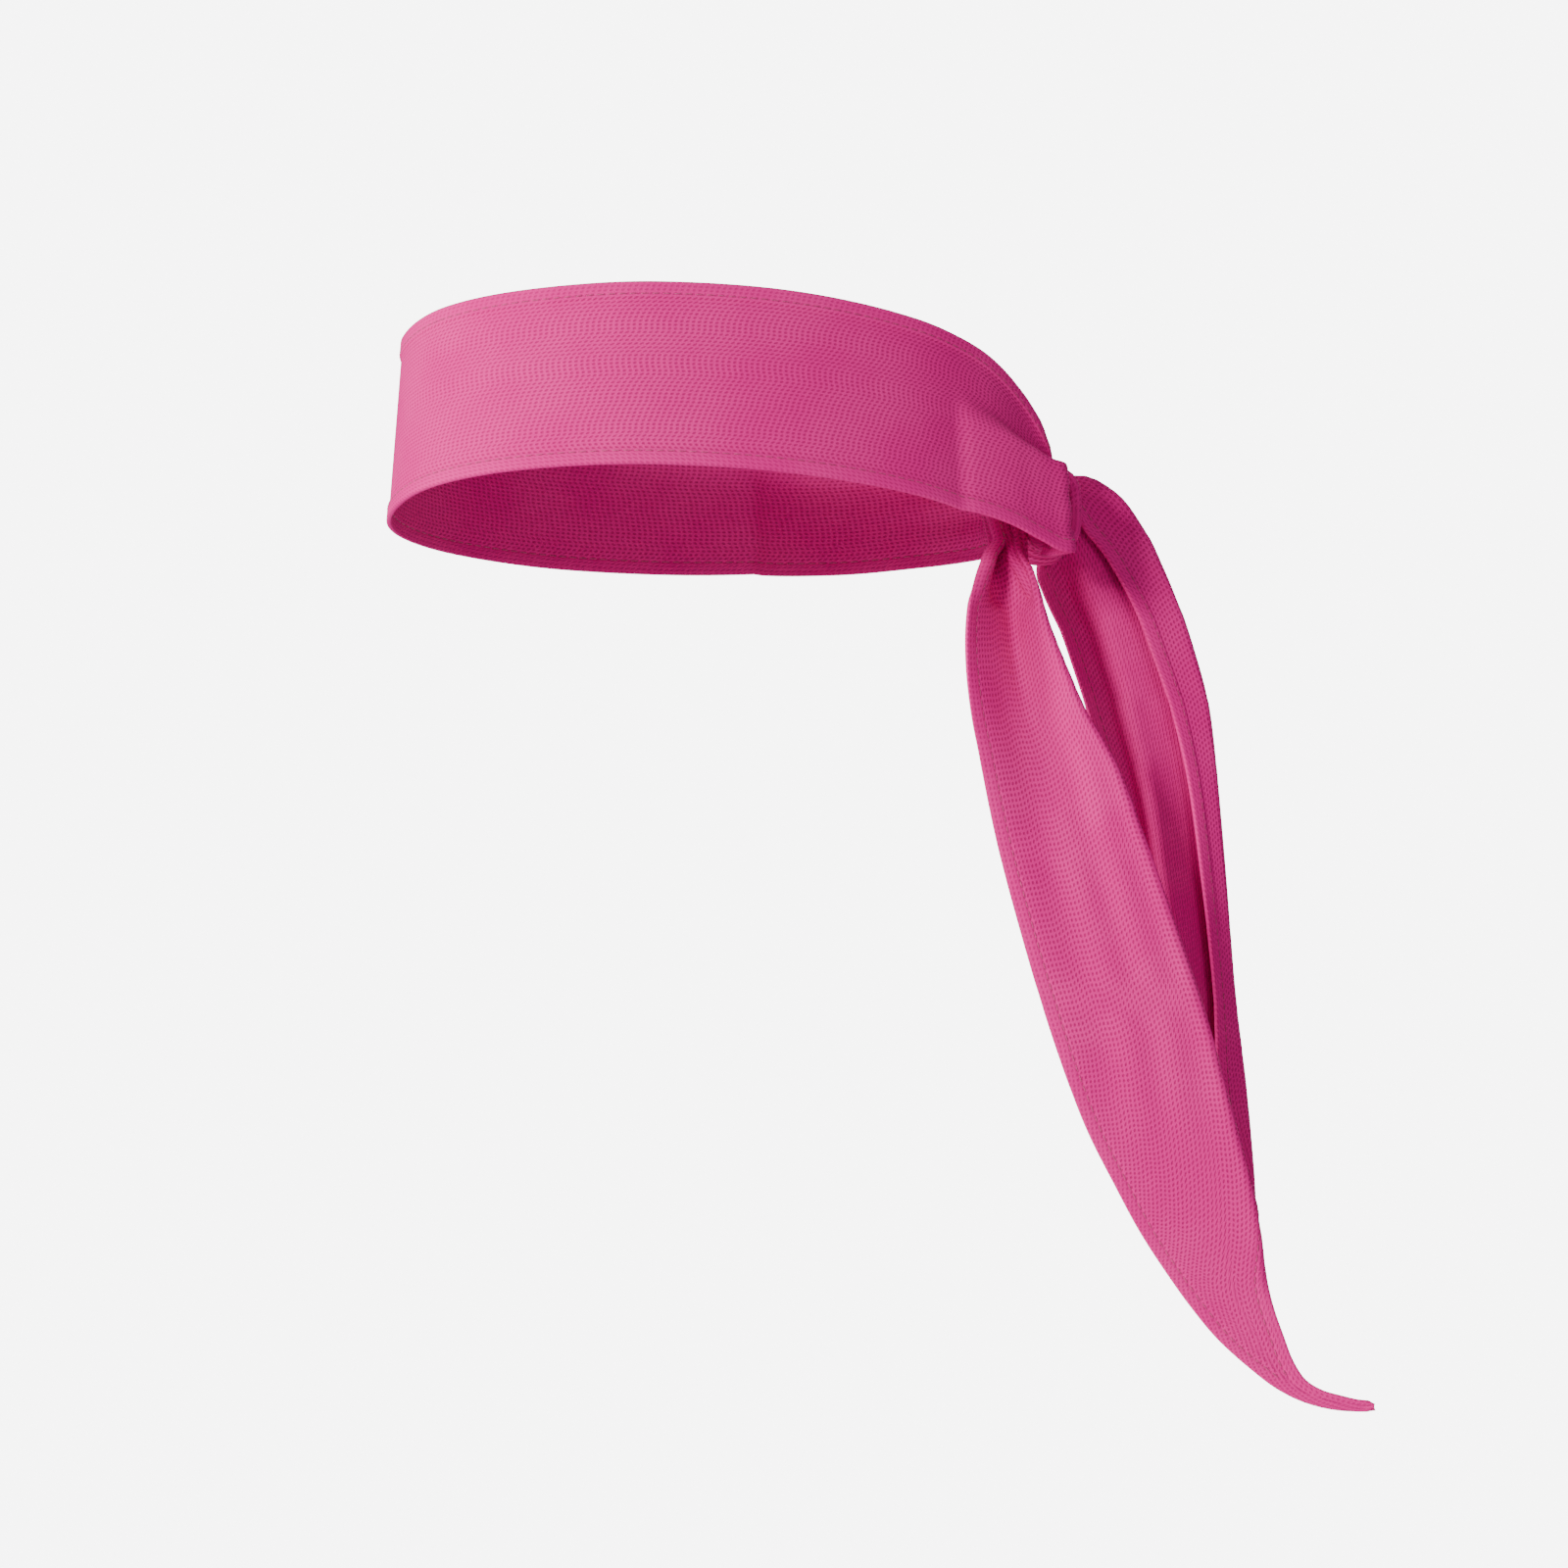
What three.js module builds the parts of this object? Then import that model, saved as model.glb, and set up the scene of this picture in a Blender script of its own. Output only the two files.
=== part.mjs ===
// A tie headband: one strip of hemmed mesh cloth, tied behind the head in a half knot, with its two pointed
// ends hanging as tails. The cloth is modelled section by section, so that the sections can hang and swing.
//
// Millimetres. +Z is up, the forehead faces -Y, the knot is at +Y and the wearer's left side is +X.
// The origin is the middle of the loop, halfway up the band.

import * as THREE from "three";

// ---- Strip --------------------------------------------------------------------------------------

const STRIP_WIDTH = 60; // finished width, hem to hem
const CLOTH = 1.2; // one layer of mesh knit, with the loft of its surface
const HEM_WIDTH = 5; // how far the edge is turned in
const HEM_CLOTH = 0.7; // the turned-in layer, pressed flat
const STITCH_INSET = 4.2; // edge to the row of stitches
const THREAD_WIDTH = 0.6;
const THREAD_HEIGHT = 0.4;
const LAYER_GAP = 0.3; // between surfaces that touch
const FOLDED_CLOTH = 1.6; // thickest hanging tail, where the strip is folded lengthwise

// ---- Loop ---------------------------------------------------------------------------------------

const LOOP_LENGTH = 202; // forehead to the middle of the knot, over the cloth's middle
const LOOP_BREADTH = 125; // temple to temple
const FOREHEAD_SHARE = 0.508; // share of the length that lies ahead of the origin
const LEAN = THREE.MathUtils.degToRad(4); // the band leans inwards at its top
const PANEL_GAP = 0.3; // between one section of the band and the next
const LOOP_STEP = 12; // length of one facet along the band

// ---- Knot ---------------------------------------------------------------------------------------

const KNOT_DROP = 22; // how far the knot hangs below the middle of the band
const KNOT_LENGTH = 18; // across the head
const WRAP_HEIGHT = 27;
const WRAP_DEPTH = 18;
const WRAP_WALL = 3.3; // gathered cloth of the turn that holds the knot
const WRAP_CORNER = 7; // radius of the wrap's outer corners
const HOLE_CORNER = 2.4; // radius of the corners of the hole through it
const STRAND_GAP = CLOTH + LAYER_GAP; // from the wrap's end to the strand that enters it
const RIGHT_TAIL_STUB = 1.2; // how far the right tail stands out of the wrap before its pivot
const HEM_END = 4; // how far from the knot the turned-in hems end

// ---- Tails --------------------------------------------------------------------------------------

const FACE_TURN = THREE.MathUtils.degToRad(12); // the tails face the wearer's left, turned this much forwards
const LEFT_TAIL_DROP = 264; // from its pivot to its tip, straight down
const RIGHT_TAIL_DROP = 238;
const HINGE_GAP = 0.96; // between two sections of a tail that bend against each other
const HEM_CLEARANCE = 1.6; // how far hems and threads stop short of such a bend
const PIVOT_BALL = 4; // radius of the gathered cloth at the left tail's pivot
const PIVOT_CLEARANCE = 0.4; // between a swinging tail and the cloth that holds it
const ROOT_RADIUS = 3; // gathered cloth between the knot and the left tail's pivot
const PIVOT_BESIDE_KNOT = 5.6; // from the wrap's end sideways to either pivot
const LEFT_PIVOT_BELOW = 5.5; // from the wrap's underside
const LEFT_PIVOT_AHEAD = 2.4; // from the wrap's side that faces the head
const RIGHT_PIVOT_AHEAD = 0.3; // from the middle of the knot

const COLOURS = {
  cloth: 0xe04f96,
  hem: 0xc8437f,
  thread: 0xa8315f,
};

const headband = new THREE.Group();
const tails = new THREE.Group();
tails.rotation.z = -FACE_TURN;
headband.add(tails);

// ---- Small helpers ------------------------------------------------------------------------------

function material(colour) {
  return new THREE.MeshStandardMaterial({ color: colour, roughness: 0.85, metalness: 0 });
}

function addPiece(group, name, geometry, colour) {
  const mesh = new THREE.Mesh(geometry, material(colour));
  mesh.name = name;
  group.add(mesh);
  return mesh;
}

// Reads a smooth curve through rows of [place, value, value, ...] at one place.
function readRows(rows, place) {
  const last = rows.length - 1;
  const clamped = THREE.MathUtils.clamp(place, rows[0][0], rows[last][0]);
  let i = 0;
  while (i < last - 1 && clamped > rows[i + 1][0]) i += 1;
  const span = rows[i + 1][0] - rows[i][0];
  const x = (clamped - rows[i][0]) / span;
  const slope = (k, column) => {
    const before = rows[Math.max(k - 1, 0)];
    const after = rows[Math.min(k + 1, last)];
    return (after[column] - before[column]) / (after[0] - before[0]);
  };
  return rows[i].slice(1).map((start, k) => {
    const end = rows[i + 1][k + 1];
    const startSlope = slope(i, k + 1) * span;
    const endSlope = slope(i + 1, k + 1) * span;
    const x2 = x * x;
    const x3 = x2 * x;
    return (
      start * (2 * x3 - 3 * x2 + 1) +
      startSlope * (x3 - 2 * x2 + x) +
      end * (3 * x2 - 2 * x3) +
      endSlope * (x3 - x2)
    );
  });
}

// A closed body from rings of points: every ring has as many points, and both end rings are capped by a fan.
function bodyFromRings(rings) {
  const count = rings[0].length;
  const positions = rings.flat().flatMap((p) => [p.x, p.y, p.z]);
  const faces = [];
  for (let r = 0; r < rings.length - 1; r += 1) {
    for (let k = 0; k < count; k += 1) {
      const a = r * count + k;
      const b = r * count + ((k + 1) % count);
      faces.push(a, b, a + count, b, b + count, a + count);
    }
  }
  [0, rings.length - 1].forEach((r) => {
    const centre = rings[r].reduce((sum, p) => sum.add(p), new THREE.Vector3()).divideScalar(count);
    const middle = positions.length / 3;
    positions.push(centre.x, centre.y, centre.z);
    for (let k = 0; k < count; k += 1) {
      const a = r * count + k;
      const b = r * count + ((k + 1) % count);
      if (r === 0) faces.push(b, a, middle);
      else faces.push(a, b, middle);
    }
  });
  return facingOut(positions, faces);
}

// A closed sheet of cloth between two grids of points, outer and inner, that have the same rows and columns.
function slabFromGrids(outer, inner) {
  const rows = outer.length;
  const columns = outer[0].length;
  const positions = [...outer.flat(), ...inner.flat()].flatMap((p) => [p.x, p.y, p.z]);
  const below = rows * columns;
  const faces = [];
  const quad = (a, b, c, d) => faces.push(a, b, c, a, c, d);
  for (let r = 0; r < rows - 1; r += 1) {
    for (let k = 0; k < columns - 1; k += 1) {
      const a = r * columns + k;
      const b = a + 1;
      const c = b + columns;
      const d = a + columns;
      quad(a, b, c, d);
      quad(below + a, below + d, below + c, below + b);
    }
  }
  const rim = [];
  for (let k = 0; k < columns - 1; k += 1) rim.push(k);
  for (let r = 0; r < rows - 1; r += 1) rim.push(r * columns + columns - 1);
  for (let k = columns - 1; k > 0; k -= 1) rim.push((rows - 1) * columns + k);
  for (let r = rows - 1; r > 0; r -= 1) rim.push(r * columns);
  rim.forEach((a, i) => {
    const b = rim[(i + 1) % rim.length];
    quad(b, a, below + a, below + b);
  });
  return facingOut(positions, faces);
}

// An indexed geometry whose faces point out of the body, whichever way they were listed.
function facingOut(positions, faces) {
  let volume = 0;
  const corner = (i) => new THREE.Vector3().fromArray(positions, 3 * i);
  for (let i = 0; i < faces.length; i += 3) {
    volume += corner(faces[i]).dot(corner(faces[i + 1]).cross(corner(faces[i + 2])));
  }
  const ordered = volume > 0 ? faces : [...faces].reverse();
  const geometry = new THREE.BufferGeometry();
  geometry.setAttribute("position", new THREE.Float32BufferAttribute(positions, 3));
  geometry.setIndex(ordered);
  geometry.computeVertexNormals();
  return geometry;
}

function span(from, to, steps) {
  return Array.from({ length: steps + 1 }, (_, i) => from + ((to - from) * i) / steps);
}

// ---- Loop of the band ---------------------------------------------------------------------------

const KNOT = new THREE.Vector3(0, LOOP_LENGTH * (1 - FOREHEAD_SHARE), -KNOT_DROP);
const FOREHEAD_Y = -LOOP_LENGTH * FOREHEAD_SHARE;
const HALF_BREADTH = LOOP_BREADTH / 2;
const STRAND_START = KNOT_LENGTH / 2 + STRAND_GAP; // how far from the knot's middle a strand ends

// Room inside the wrap, and the half of it that each of the right-hand layers takes.
const HOLE_DEPTH = WRAP_DEPTH - 2 * WRAP_WALL;
const HOLE_HEIGHT = WRAP_HEIGHT - 2 * WRAP_WALL;
const LAYER_DEPTH = (HOLE_DEPTH - 3 * LAYER_GAP) / 2;
const LAYER_OFFSET = (LAYER_DEPTH + LAYER_GAP) / 2;

// Half of the plan, from the knot forwards: share of the half breadth, and share of the way from the knot's
// middle to the forehead.
const HALF_PLAN = [
  [0.22, 0.006],
  [0.36, 0.046],
  [0.6, 0.134],
  [0.83, 0.25],
  [0.97, 0.4],
  [1.0, 0.55],
  [0.92, 0.73],
  [0.7, 0.885],
  [0.39, 0.973],
];

// The band's height along each side, by distance from the knot: middle above the band's level, and half
// height as a share of the strip's half width.
const LEFT_GATHER = [
  [0, -KNOT_DROP, 0.36],
  [12, -19, 0.56],
  [24, -17, 0.8],
  [44, -9.5, 0.9],
  [64, -6, 0.94],
  [105, -2, 0.985],
  [150, 0, 1],
  [260, -4.5, 1],
];
const RIGHT_GATHER = [
  [0, -KNOT_DROP, 0.36],
  [12, -18.5, 0.5],
  [24, -12, 0.66],
  [44, -6, 0.77],
  [64, -2.5, 0.87],
  [105, 0, 0.965],
  [150, 0, 1],
  [260, -4.5, 1],
];

// Gathered cloth is thicker near the knot, where each strand nearly fills its place in it: by how much, and
// over what distance it thins out.
const STRAND_SLACK = 0.85;
const GATHER_THICKNESS = LAYER_DEPTH - CLOTH - STRAND_SLACK;
const GATHER_REACH = 12;

const LEFT_ENTRY = new THREE.Vector3(STRAND_START, KNOT.y, 0);
const RIGHT_ENTRY = new THREE.Vector3(-STRAND_START, KNOT.y - LAYER_OFFSET, 0);

function planCurve() {
  const toPoint = (side) => ([x, y]) =>
    new THREE.Vector3(side * x * HALF_BREADTH, KNOT.y + y * (FOREHEAD_Y - KNOT.y), 0);
  const left = HALF_PLAN.map(toPoint(1));
  const right = HALF_PLAN.map(toPoint(-1)).reverse();
  const forehead = new THREE.Vector3(0, FOREHEAD_Y, 0);
  return new THREE.CatmullRomCurve3([LEFT_ENTRY, ...left, forehead, ...right, RIGHT_ENTRY]);
}

const plan = planCurve();
plan.arcLengthDivisions = 800;
const loopSpan = plan.getLength();

// The band's cross-section at a distance along the loop, from the wearer's left side of the knot.
function bandAt(distance) {
  const point = plan.getPointAt(distance / loopSpan);
  const along = plan.getTangentAt(distance / loopSpan);
  const outward = new THREE.Vector3(-along.y, along.x, 0);
  const fromKnot = Math.min(distance, loopSpan - distance);
  const gather = distance < loopSpan / 2 ? LEFT_GATHER : RIGHT_GATHER;
  const [middle, share] = readRows(gather, fromKnot);
  return {
    point,
    outward,
    middle,
    halfHeight: (share * STRIP_WIDTH) / 2,
    thickness: CLOTH + GATHER_THICKNESS * Math.exp(-fromKnot / GATHER_REACH),
  };
}

// A point of the band: up from its middle, and out from the middle of its thickness.
function bandPoint(section, up, out) {
  const away = out - up * Math.tan(LEAN);
  return section.point
    .clone()
    .addScaledVector(section.outward, away)
    .setZ(section.middle + up);
}

// heights lists the columns of the slab, and layer gives its two faces, from the section.
function bandSlab(stations, heights, layer) {
  const grid = (face) =>
    stations.map((distance) => {
      const section = bandAt(distance);
      return heights(section.halfHeight).map((up) => bandPoint(section, up, layer(section.thickness)[face]));
    });
  return slabFromGrids(grid(0), grid(1));
}

const panelLayer = (thickness) => [thickness / 2, -thickness / 2];
const hemLayer = (thickness) => {
  const face = -thickness / 2 - LAYER_GAP;
  return [face, face - HEM_CLOTH];
};
const threadLayer = (thickness) => {
  const face = thickness / 2 + LAYER_GAP;
  return [face + THREAD_HEIGHT, face];
};

function bandHeights(half) {
  return [-half, HEM_WIDTH - half, 0, half - HEM_WIDTH, half];
}

// Ends of the five sections of the band, as shares of the loop.
const BAND_SECTIONS = [
  ["left_rear_strand", 0, 0.15],
  ["left_side_panel", 0.15, 0.36],
  ["forehead_panel", 0.36, 0.64],
  ["right_side_panel", 0.64, 0.85],
  ["right_rear_strand", 0.85, 1],
];

// Distances from the knot at which the strands' tight curve beside it is divided.
const curvedEnd = [HEM_END, HEM_END + LOOP_STEP / 4, HEM_END + LOOP_STEP / 2, HEM_END + LOOP_STEP];

function addBand() {
  const stations = BAND_SECTIONS.map(([, from, to]) => {
    const start = from === 0 ? 0 : from * loopSpan + PANEL_GAP / 2;
    const end = to === 1 ? loopSpan : to * loopSpan - PANEL_GAP / 2;
    const places = span(start, end, Math.ceil((end - start) / LOOP_STEP));
    if (from === 0) return [0, ...curvedEnd, ...places.slice(2)];
    if (to === 1) return [...places.slice(0, -2), ...curvedEnd.map((d) => loopSpan - d).reverse(), loopSpan];
    return places;
  });
  BAND_SECTIONS.forEach(([name], i) => {
    addPiece(headband, name, bandSlab(stations[i], bandHeights, panelLayer), COLOURS.cloth);
  });
  const whole = stations.flat().slice(1, -1);
  const edges = [
    ["upper", (half) => half, -1],
    ["lower", (half) => -half, 1],
  ];
  edges.forEach(([edge, at, inwards]) => {
    const hem = (half) => [at(half), at(half) + inwards * HEM_WIDTH];
    const thread = (half) => [
      at(half) + inwards * STITCH_INSET,
      at(half) + inwards * (STITCH_INSET + THREAD_WIDTH),
    ];
    addPiece(headband, `${edge}_hem`, bandSlab(whole, hem, hemLayer), COLOURS.hem);
    addPiece(headband, `${edge}_hem_thread`, bandSlab(whole, thread, threadLayer), COLOURS.thread);
  });
}

// ---- Knot ---------------------------------------------------------------------------------------

// A rectangle with round corners, drawn in the plane across the knot: depth is along Y and height along Z.
function roundedShape(depth, height, corner, centre = 0) {
  const left = centre - depth / 2;
  const right = centre + depth / 2;
  const low = -height / 2;
  const high = height / 2;
  const shape = new THREE.Shape();
  shape.moveTo(left + corner, low);
  shape.lineTo(right - corner, low);
  shape.absarc(right - corner, low + corner, corner, -Math.PI / 2, 0);
  shape.lineTo(right, high - corner);
  shape.absarc(right - corner, high - corner, corner, 0, Math.PI / 2);
  shape.lineTo(left + corner, high);
  shape.absarc(left + corner, high - corner, corner, Math.PI / 2, Math.PI);
  shape.lineTo(left, low + corner);
  shape.absarc(left + corner, low + corner, corner, Math.PI, 1.5 * Math.PI);
  return shape;
}

// Extrudes a shape across the knot, from one place along X to another.
function acrossKnot(shape, from, to) {
  const extrusion = { depth: to - from, bevelEnabled: false, curveSegments: 5 };
  const geometry = new THREE.ExtrudeGeometry(shape, extrusion);
  const turn = new THREE.Matrix4().makeBasis(
    new THREE.Vector3(0, 1, 0),
    new THREE.Vector3(0, 0, 1),
    new THREE.Vector3(1, 0, 0),
  );
  geometry.applyMatrix4(turn);
  geometry.translate(from, 0, 0);
  geometry.translate(KNOT.x, KNOT.y, KNOT.z);
  return geometry;
}

function addKnot() {
  const end = KNOT_LENGTH / 2;
  const wrap = roundedShape(WRAP_DEPTH, WRAP_HEIGHT, WRAP_CORNER);
  wrap.holes.push(roundedShape(HOLE_DEPTH, HOLE_HEIGHT, HOLE_CORNER));
  addPiece(headband, "knot_wrap", acrossKnot(wrap, -end, end), COLOURS.cloth);

  const height = HOLE_HEIGHT - 2 * LAYER_GAP;
  const corner = HOLE_CORNER - LAYER_GAP;
  const layerCorner = Math.min(corner, LAYER_DEPTH / 2 - LAYER_GAP);
  const leftStrand = roundedShape(HOLE_DEPTH - 2 * LAYER_GAP, height, corner);
  const strandInKnot = acrossKnot(leftStrand, LAYER_GAP / 2, end + LAYER_GAP);
  addPiece(headband, "left_strand_in_knot", strandInKnot, COLOURS.cloth);

  // The wearer's right strand enters on the side of the head, and the right tail leaves behind it.
  const layers = [
    ["right_strand_in_knot", -LAYER_OFFSET, end + LAYER_GAP],
    ["right_tail_in_knot", LAYER_OFFSET, end + RIGHT_TAIL_STUB],
  ];
  layers.forEach(([name, offset, reach]) => {
    const layer = roundedShape(LAYER_DEPTH, height, layerCorner, offset);
    addPiece(headband, name, acrossKnot(layer, -reach, -LAYER_GAP / 2), COLOURS.cloth);
  });
}

// ---- Tails --------------------------------------------------------------------------------------

// In the tails' own frame X is the way they face, Y is backwards along their face, and Z is up.
function inTailFrame(point) {
  return point.clone().applyAxisAngle(new THREE.Vector3(0, 0, 1), FACE_TURN);
}

const knotInTailFrame = inTailFrame(KNOT);
const pivotReach = KNOT_LENGTH / 2 + PIVOT_BESIDE_KNOT;

function besideKnot(out, ahead, below) {
  return knotInTailFrame.clone().add(new THREE.Vector3(out, -ahead, -below));
}

// Each tail hangs from a pivot beside the knot: out is across its face, and back is along it.
const LEFT_TAIL = {
  name: "left_tail",
  drop: LEFT_TAIL_DROP,
  pivot: besideKnot(pivotReach, WRAP_DEPTH / 2 + LEFT_PIVOT_AHEAD, WRAP_HEIGHT / 2 + LEFT_PIVOT_BELOW),
  throatEnd: 0.078,
  bend: 0.44,
  tipStart: 0.93,
  // Share of the drop, then the middle's way back and out as shares of the drop, then the width as a share of
  // the strip's.
  rows: [
    [0.03, -0.006, 0.004, 0.31],
    [0.078, -0.002, 0.011, 0.415],
    [0.15, 0.011, 0.019, 0.53],
    [0.245, 0.038, 0.028, 0.65],
    [0.33, 0.064, 0.034, 0.75],
    [0.44, 0.1, 0.042, 0.78],
    [0.53, 0.126, 0.043, 0.8],
    [0.62, 0.15, 0.045, 0.76],
    [0.7, 0.179, 0.047, 0.7],
    [0.83, 0.225, 0.049, 0.5],
    [0.9, 0.257, 0.049, 0.36],
    [0.95, 0.29, 0.049, 0.22],
    [0.972, 0.315, 0.049, 0.17],
    [1, 0.384, 0.047, 0.19],
  ],
  // The gathered throat: distance below the pivot, then its middle's way back, half width and half depth.
  throat: [
    [-3.4, 0, 2, 2],
    [-1.5, 0, 3.6, 3.6],
    [1, 0, PIVOT_BALL, PIVOT_BALL],
    [4, -0.8, 6.4, 3.5],
    [8, -1.4, 9.3, 2.6],
    [14, -1.2, 11.3, 1.5],
  ],
};
const RIGHT_TAIL = {
  name: "right_tail",
  drop: RIGHT_TAIL_DROP,
  pivot: besideKnot(-pivotReach, RIGHT_PIVOT_AHEAD, 0),
  throatEnd: 0.1,
  bend: 0.47,
  tipStart: 0.93,
  rows: [
    [0.1, 0.09, 0.006, 0.66],
    [0.14, 0.1, 0.012, 0.637],
    [0.215, 0.122, 0.02, 0.6],
    [0.29, 0.139, 0.028, 0.55],
    [0.37, 0.153, 0.033, 0.51],
    [0.47, 0.169, 0.038, 0.46],
    [0.6, 0.183, 0.038, 0.43],
    [0.73, 0.198, 0.038, 0.41],
    [0.86, 0.221, 0.038, 0.32],
    [0.93, 0.237, 0.038, 0.22],
    [1, 0.253, 0.038, 0.07],
  ],
  throat: [
    [-13, 15.5, 5, 1.2],
    [-12, 15.2, 7.4, 1.6],
    [-8, 14.2, 10.8, 2.3],
    [-2, 15.4, 14, 3],
    [4, 17.4, 16, 3.1],
    [11, 19, 18.3, 2.4],
    [18, 20, 19.2, 1.6],
  ],
};

// The hanging cloth at a share of the drop below the pivot.
function tailAt(tail, share) {
  const [back, out, width] = readRows(tail.rows, share);
  return {
    middle: new THREE.Vector3(
      tail.pivot.x + out * tail.drop,
      tail.pivot.y + back * tail.drop,
      tail.pivot.z - share * tail.drop,
    ),
    halfWidth: (width * STRIP_WIDTH) / 2,
    thickness: Math.min(CLOTH / width, FOLDED_CLOTH),
  };
}

function tailPoint(section, back, out) {
  return section.middle.clone().add(new THREE.Vector3(out, back, 0));
}

function tailSlab(tail, shares, columns, layer) {
  const grid = (face) =>
    shares.map((share) => {
      const section = tailAt(tail, share);
      const out = layer(section.thickness)[face];
      return columns(section.halfWidth).map((back) => tailPoint(section, back, out));
    });
  return slabFromGrids(grid(0), grid(1));
}

const across = (half) => [-half, HEM_WIDTH - half, half - HEM_WIDTH, half];
const acrossTip = (half) => [-half, half];

// One hanging section of a tail, with its two hems and their threads.
function addTailSection(tail, part, from, to, hasLowerBend) {
  const gap = HINGE_GAP / 2 / tail.drop;
  const start = from + gap;
  const end = to - (hasLowerBend ? gap : 0);
  const shares = span(start, end, 7);
  addPiece(tails, `${tail.name}_${part}`, tailSlab(tail, shares, across, panelLayer), COLOURS.cloth);
  const short = HEM_CLEARANCE / tail.drop;
  const hemShares = [start + short, ...shares.slice(1, -1), end - short];
  const edges = [
    ["front", -1],
    ["rear", 1],
  ];
  edges.forEach(([edge, side]) => {
    const hem = (half) => [side * half, side * (half - HEM_WIDTH)];
    const thread = (half) => [
      side * (half - STITCH_INSET),
      side * (half - STITCH_INSET - THREAD_WIDTH),
    ];
    const name = `${tail.name}_${part}_${edge}_hem`;
    addPiece(tails, name, tailSlab(tail, hemShares, hem, hemLayer), COLOURS.hem);
    addPiece(tails, `${name}_thread`, tailSlab(tail, hemShares, thread, threadLayer), COLOURS.thread);
  });
}

function addTip(tail) {
  const shares = span(tail.tipStart + PANEL_GAP / tail.drop, 1, 6);
  addPiece(tails, `${tail.name}_tip`, tailSlab(tail, shares, acrossTip, panelLayer), COLOURS.cloth);
}

const THROAT_SIDES = 12;

function ellipse(centre, halfBack, halfOut) {
  return Array.from({ length: THROAT_SIDES }, (_, i) => {
    const angle = (2 * Math.PI * (i + 0.5)) / THROAT_SIDES;
    return centre.clone().add(new THREE.Vector3(halfOut * Math.cos(angle), halfBack * Math.sin(angle), 0));
  });
}

// The gathered cloth between a tail's pivot and the place where it has spread out flat.
function addThroat(tail) {
  const end = tailAt(tail, tail.throatEnd - HINGE_GAP / 2 / tail.drop);
  const rings = tail.throat.map(([below, back, halfBack, halfOut]) => {
    const down = below / (tail.throatEnd * tail.drop);
    const out = Math.max(down, 0) * (end.middle.x - tail.pivot.x);
    return ellipse(tail.pivot.clone().add(new THREE.Vector3(out, back, -below)), halfBack, halfOut);
  });
  rings.push(ellipse(end.middle, end.halfWidth, end.thickness / 2));
  addPiece(tails, `${tail.name}_throat`, bodyFromRings(rings), COLOURS.cloth);
}

// The gathered cloth that leaves the knot on the side of the head and meets the left tail at its pivot. Its
// last length lies along the axis that the tail swings about.
function addLeftRoot() {
  const reach = -PIVOT_BALL - PIVOT_CLEARANCE;
  const path = new THREE.CatmullRomCurve3(
    [
      [-11.4, -0.6, 15],
      [-10.8, -0.7, 8],
      [-9.2, -0.5, 2.6],
      [reach - 2, 0, 0.2],
      [reach, 0, 0],
    ].map(([out, back, up]) => LEFT_TAIL.pivot.clone().add(new THREE.Vector3(out, back, up))),
  );
  const up = new THREE.Vector3(0, 1, 0);
  const rings = span(0, 1, 10).map((place) => {
    const centre = path.getPointAt(place);
    const side = up.clone().cross(path.getTangentAt(place)).normalize();
    return Array.from({ length: THROAT_SIDES }, (_, i) => {
      const angle = (2 * Math.PI * i) / THROAT_SIDES;
      return centre
        .clone()
        .addScaledVector(side, ROOT_RADIUS * Math.cos(angle))
        .addScaledVector(up, ROOT_RADIUS * Math.sin(angle));
    });
  });
  addPiece(tails, "left_tail_root", bodyFromRings(rings), COLOURS.cloth);
}

function addTails() {
  addLeftRoot();
  [LEFT_TAIL, RIGHT_TAIL].forEach((tail) => {
    addThroat(tail);
    addTailSection(tail, "upper", tail.throatEnd, tail.bend, true);
    addTailSection(tail, "lower", tail.bend, tail.tipStart, false);
    addTip(tail);
  });
}

addBand();
addKnot();
addTails();

export default headband;
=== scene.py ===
"""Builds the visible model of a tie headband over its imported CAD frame.

The headband is one hemmed strip of mesh cloth. Every length of it is made the same way: a cross-section
is bent into folds, drawn in as far as the knit gives, pleated until it is as wide as the strip's rows say,
and carried along the path that the strip takes. Lengths in this file are millimetres until a mesh is made,
unless a comment or a unit says otherwise.
"""

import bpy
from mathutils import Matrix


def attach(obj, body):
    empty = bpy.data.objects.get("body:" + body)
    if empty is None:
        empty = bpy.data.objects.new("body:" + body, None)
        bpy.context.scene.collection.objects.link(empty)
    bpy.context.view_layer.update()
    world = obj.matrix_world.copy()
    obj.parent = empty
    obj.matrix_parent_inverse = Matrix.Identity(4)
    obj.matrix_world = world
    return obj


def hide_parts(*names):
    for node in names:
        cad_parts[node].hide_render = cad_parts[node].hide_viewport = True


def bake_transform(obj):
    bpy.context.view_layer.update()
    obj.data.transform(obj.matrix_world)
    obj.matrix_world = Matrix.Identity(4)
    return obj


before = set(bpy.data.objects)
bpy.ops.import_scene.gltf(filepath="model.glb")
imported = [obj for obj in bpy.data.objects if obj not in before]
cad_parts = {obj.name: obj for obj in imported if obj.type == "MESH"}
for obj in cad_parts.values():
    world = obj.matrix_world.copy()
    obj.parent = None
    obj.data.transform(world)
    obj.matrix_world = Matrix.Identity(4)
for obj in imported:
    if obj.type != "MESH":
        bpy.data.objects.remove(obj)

import copy
import math

import bpy
import numpy as np
from mathutils import Vector

bl_info = {
    "name": "Tie Headband",
    "version": (1, 0, 0),
    "blender": (4, 5, 0),
    "location": "3D View > Sidebar > Headband",
    "description": "Makes a knotted sports headband of hemmed mesh cloth",
    "category": "Add Mesh",
}

MM = 0.001

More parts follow.
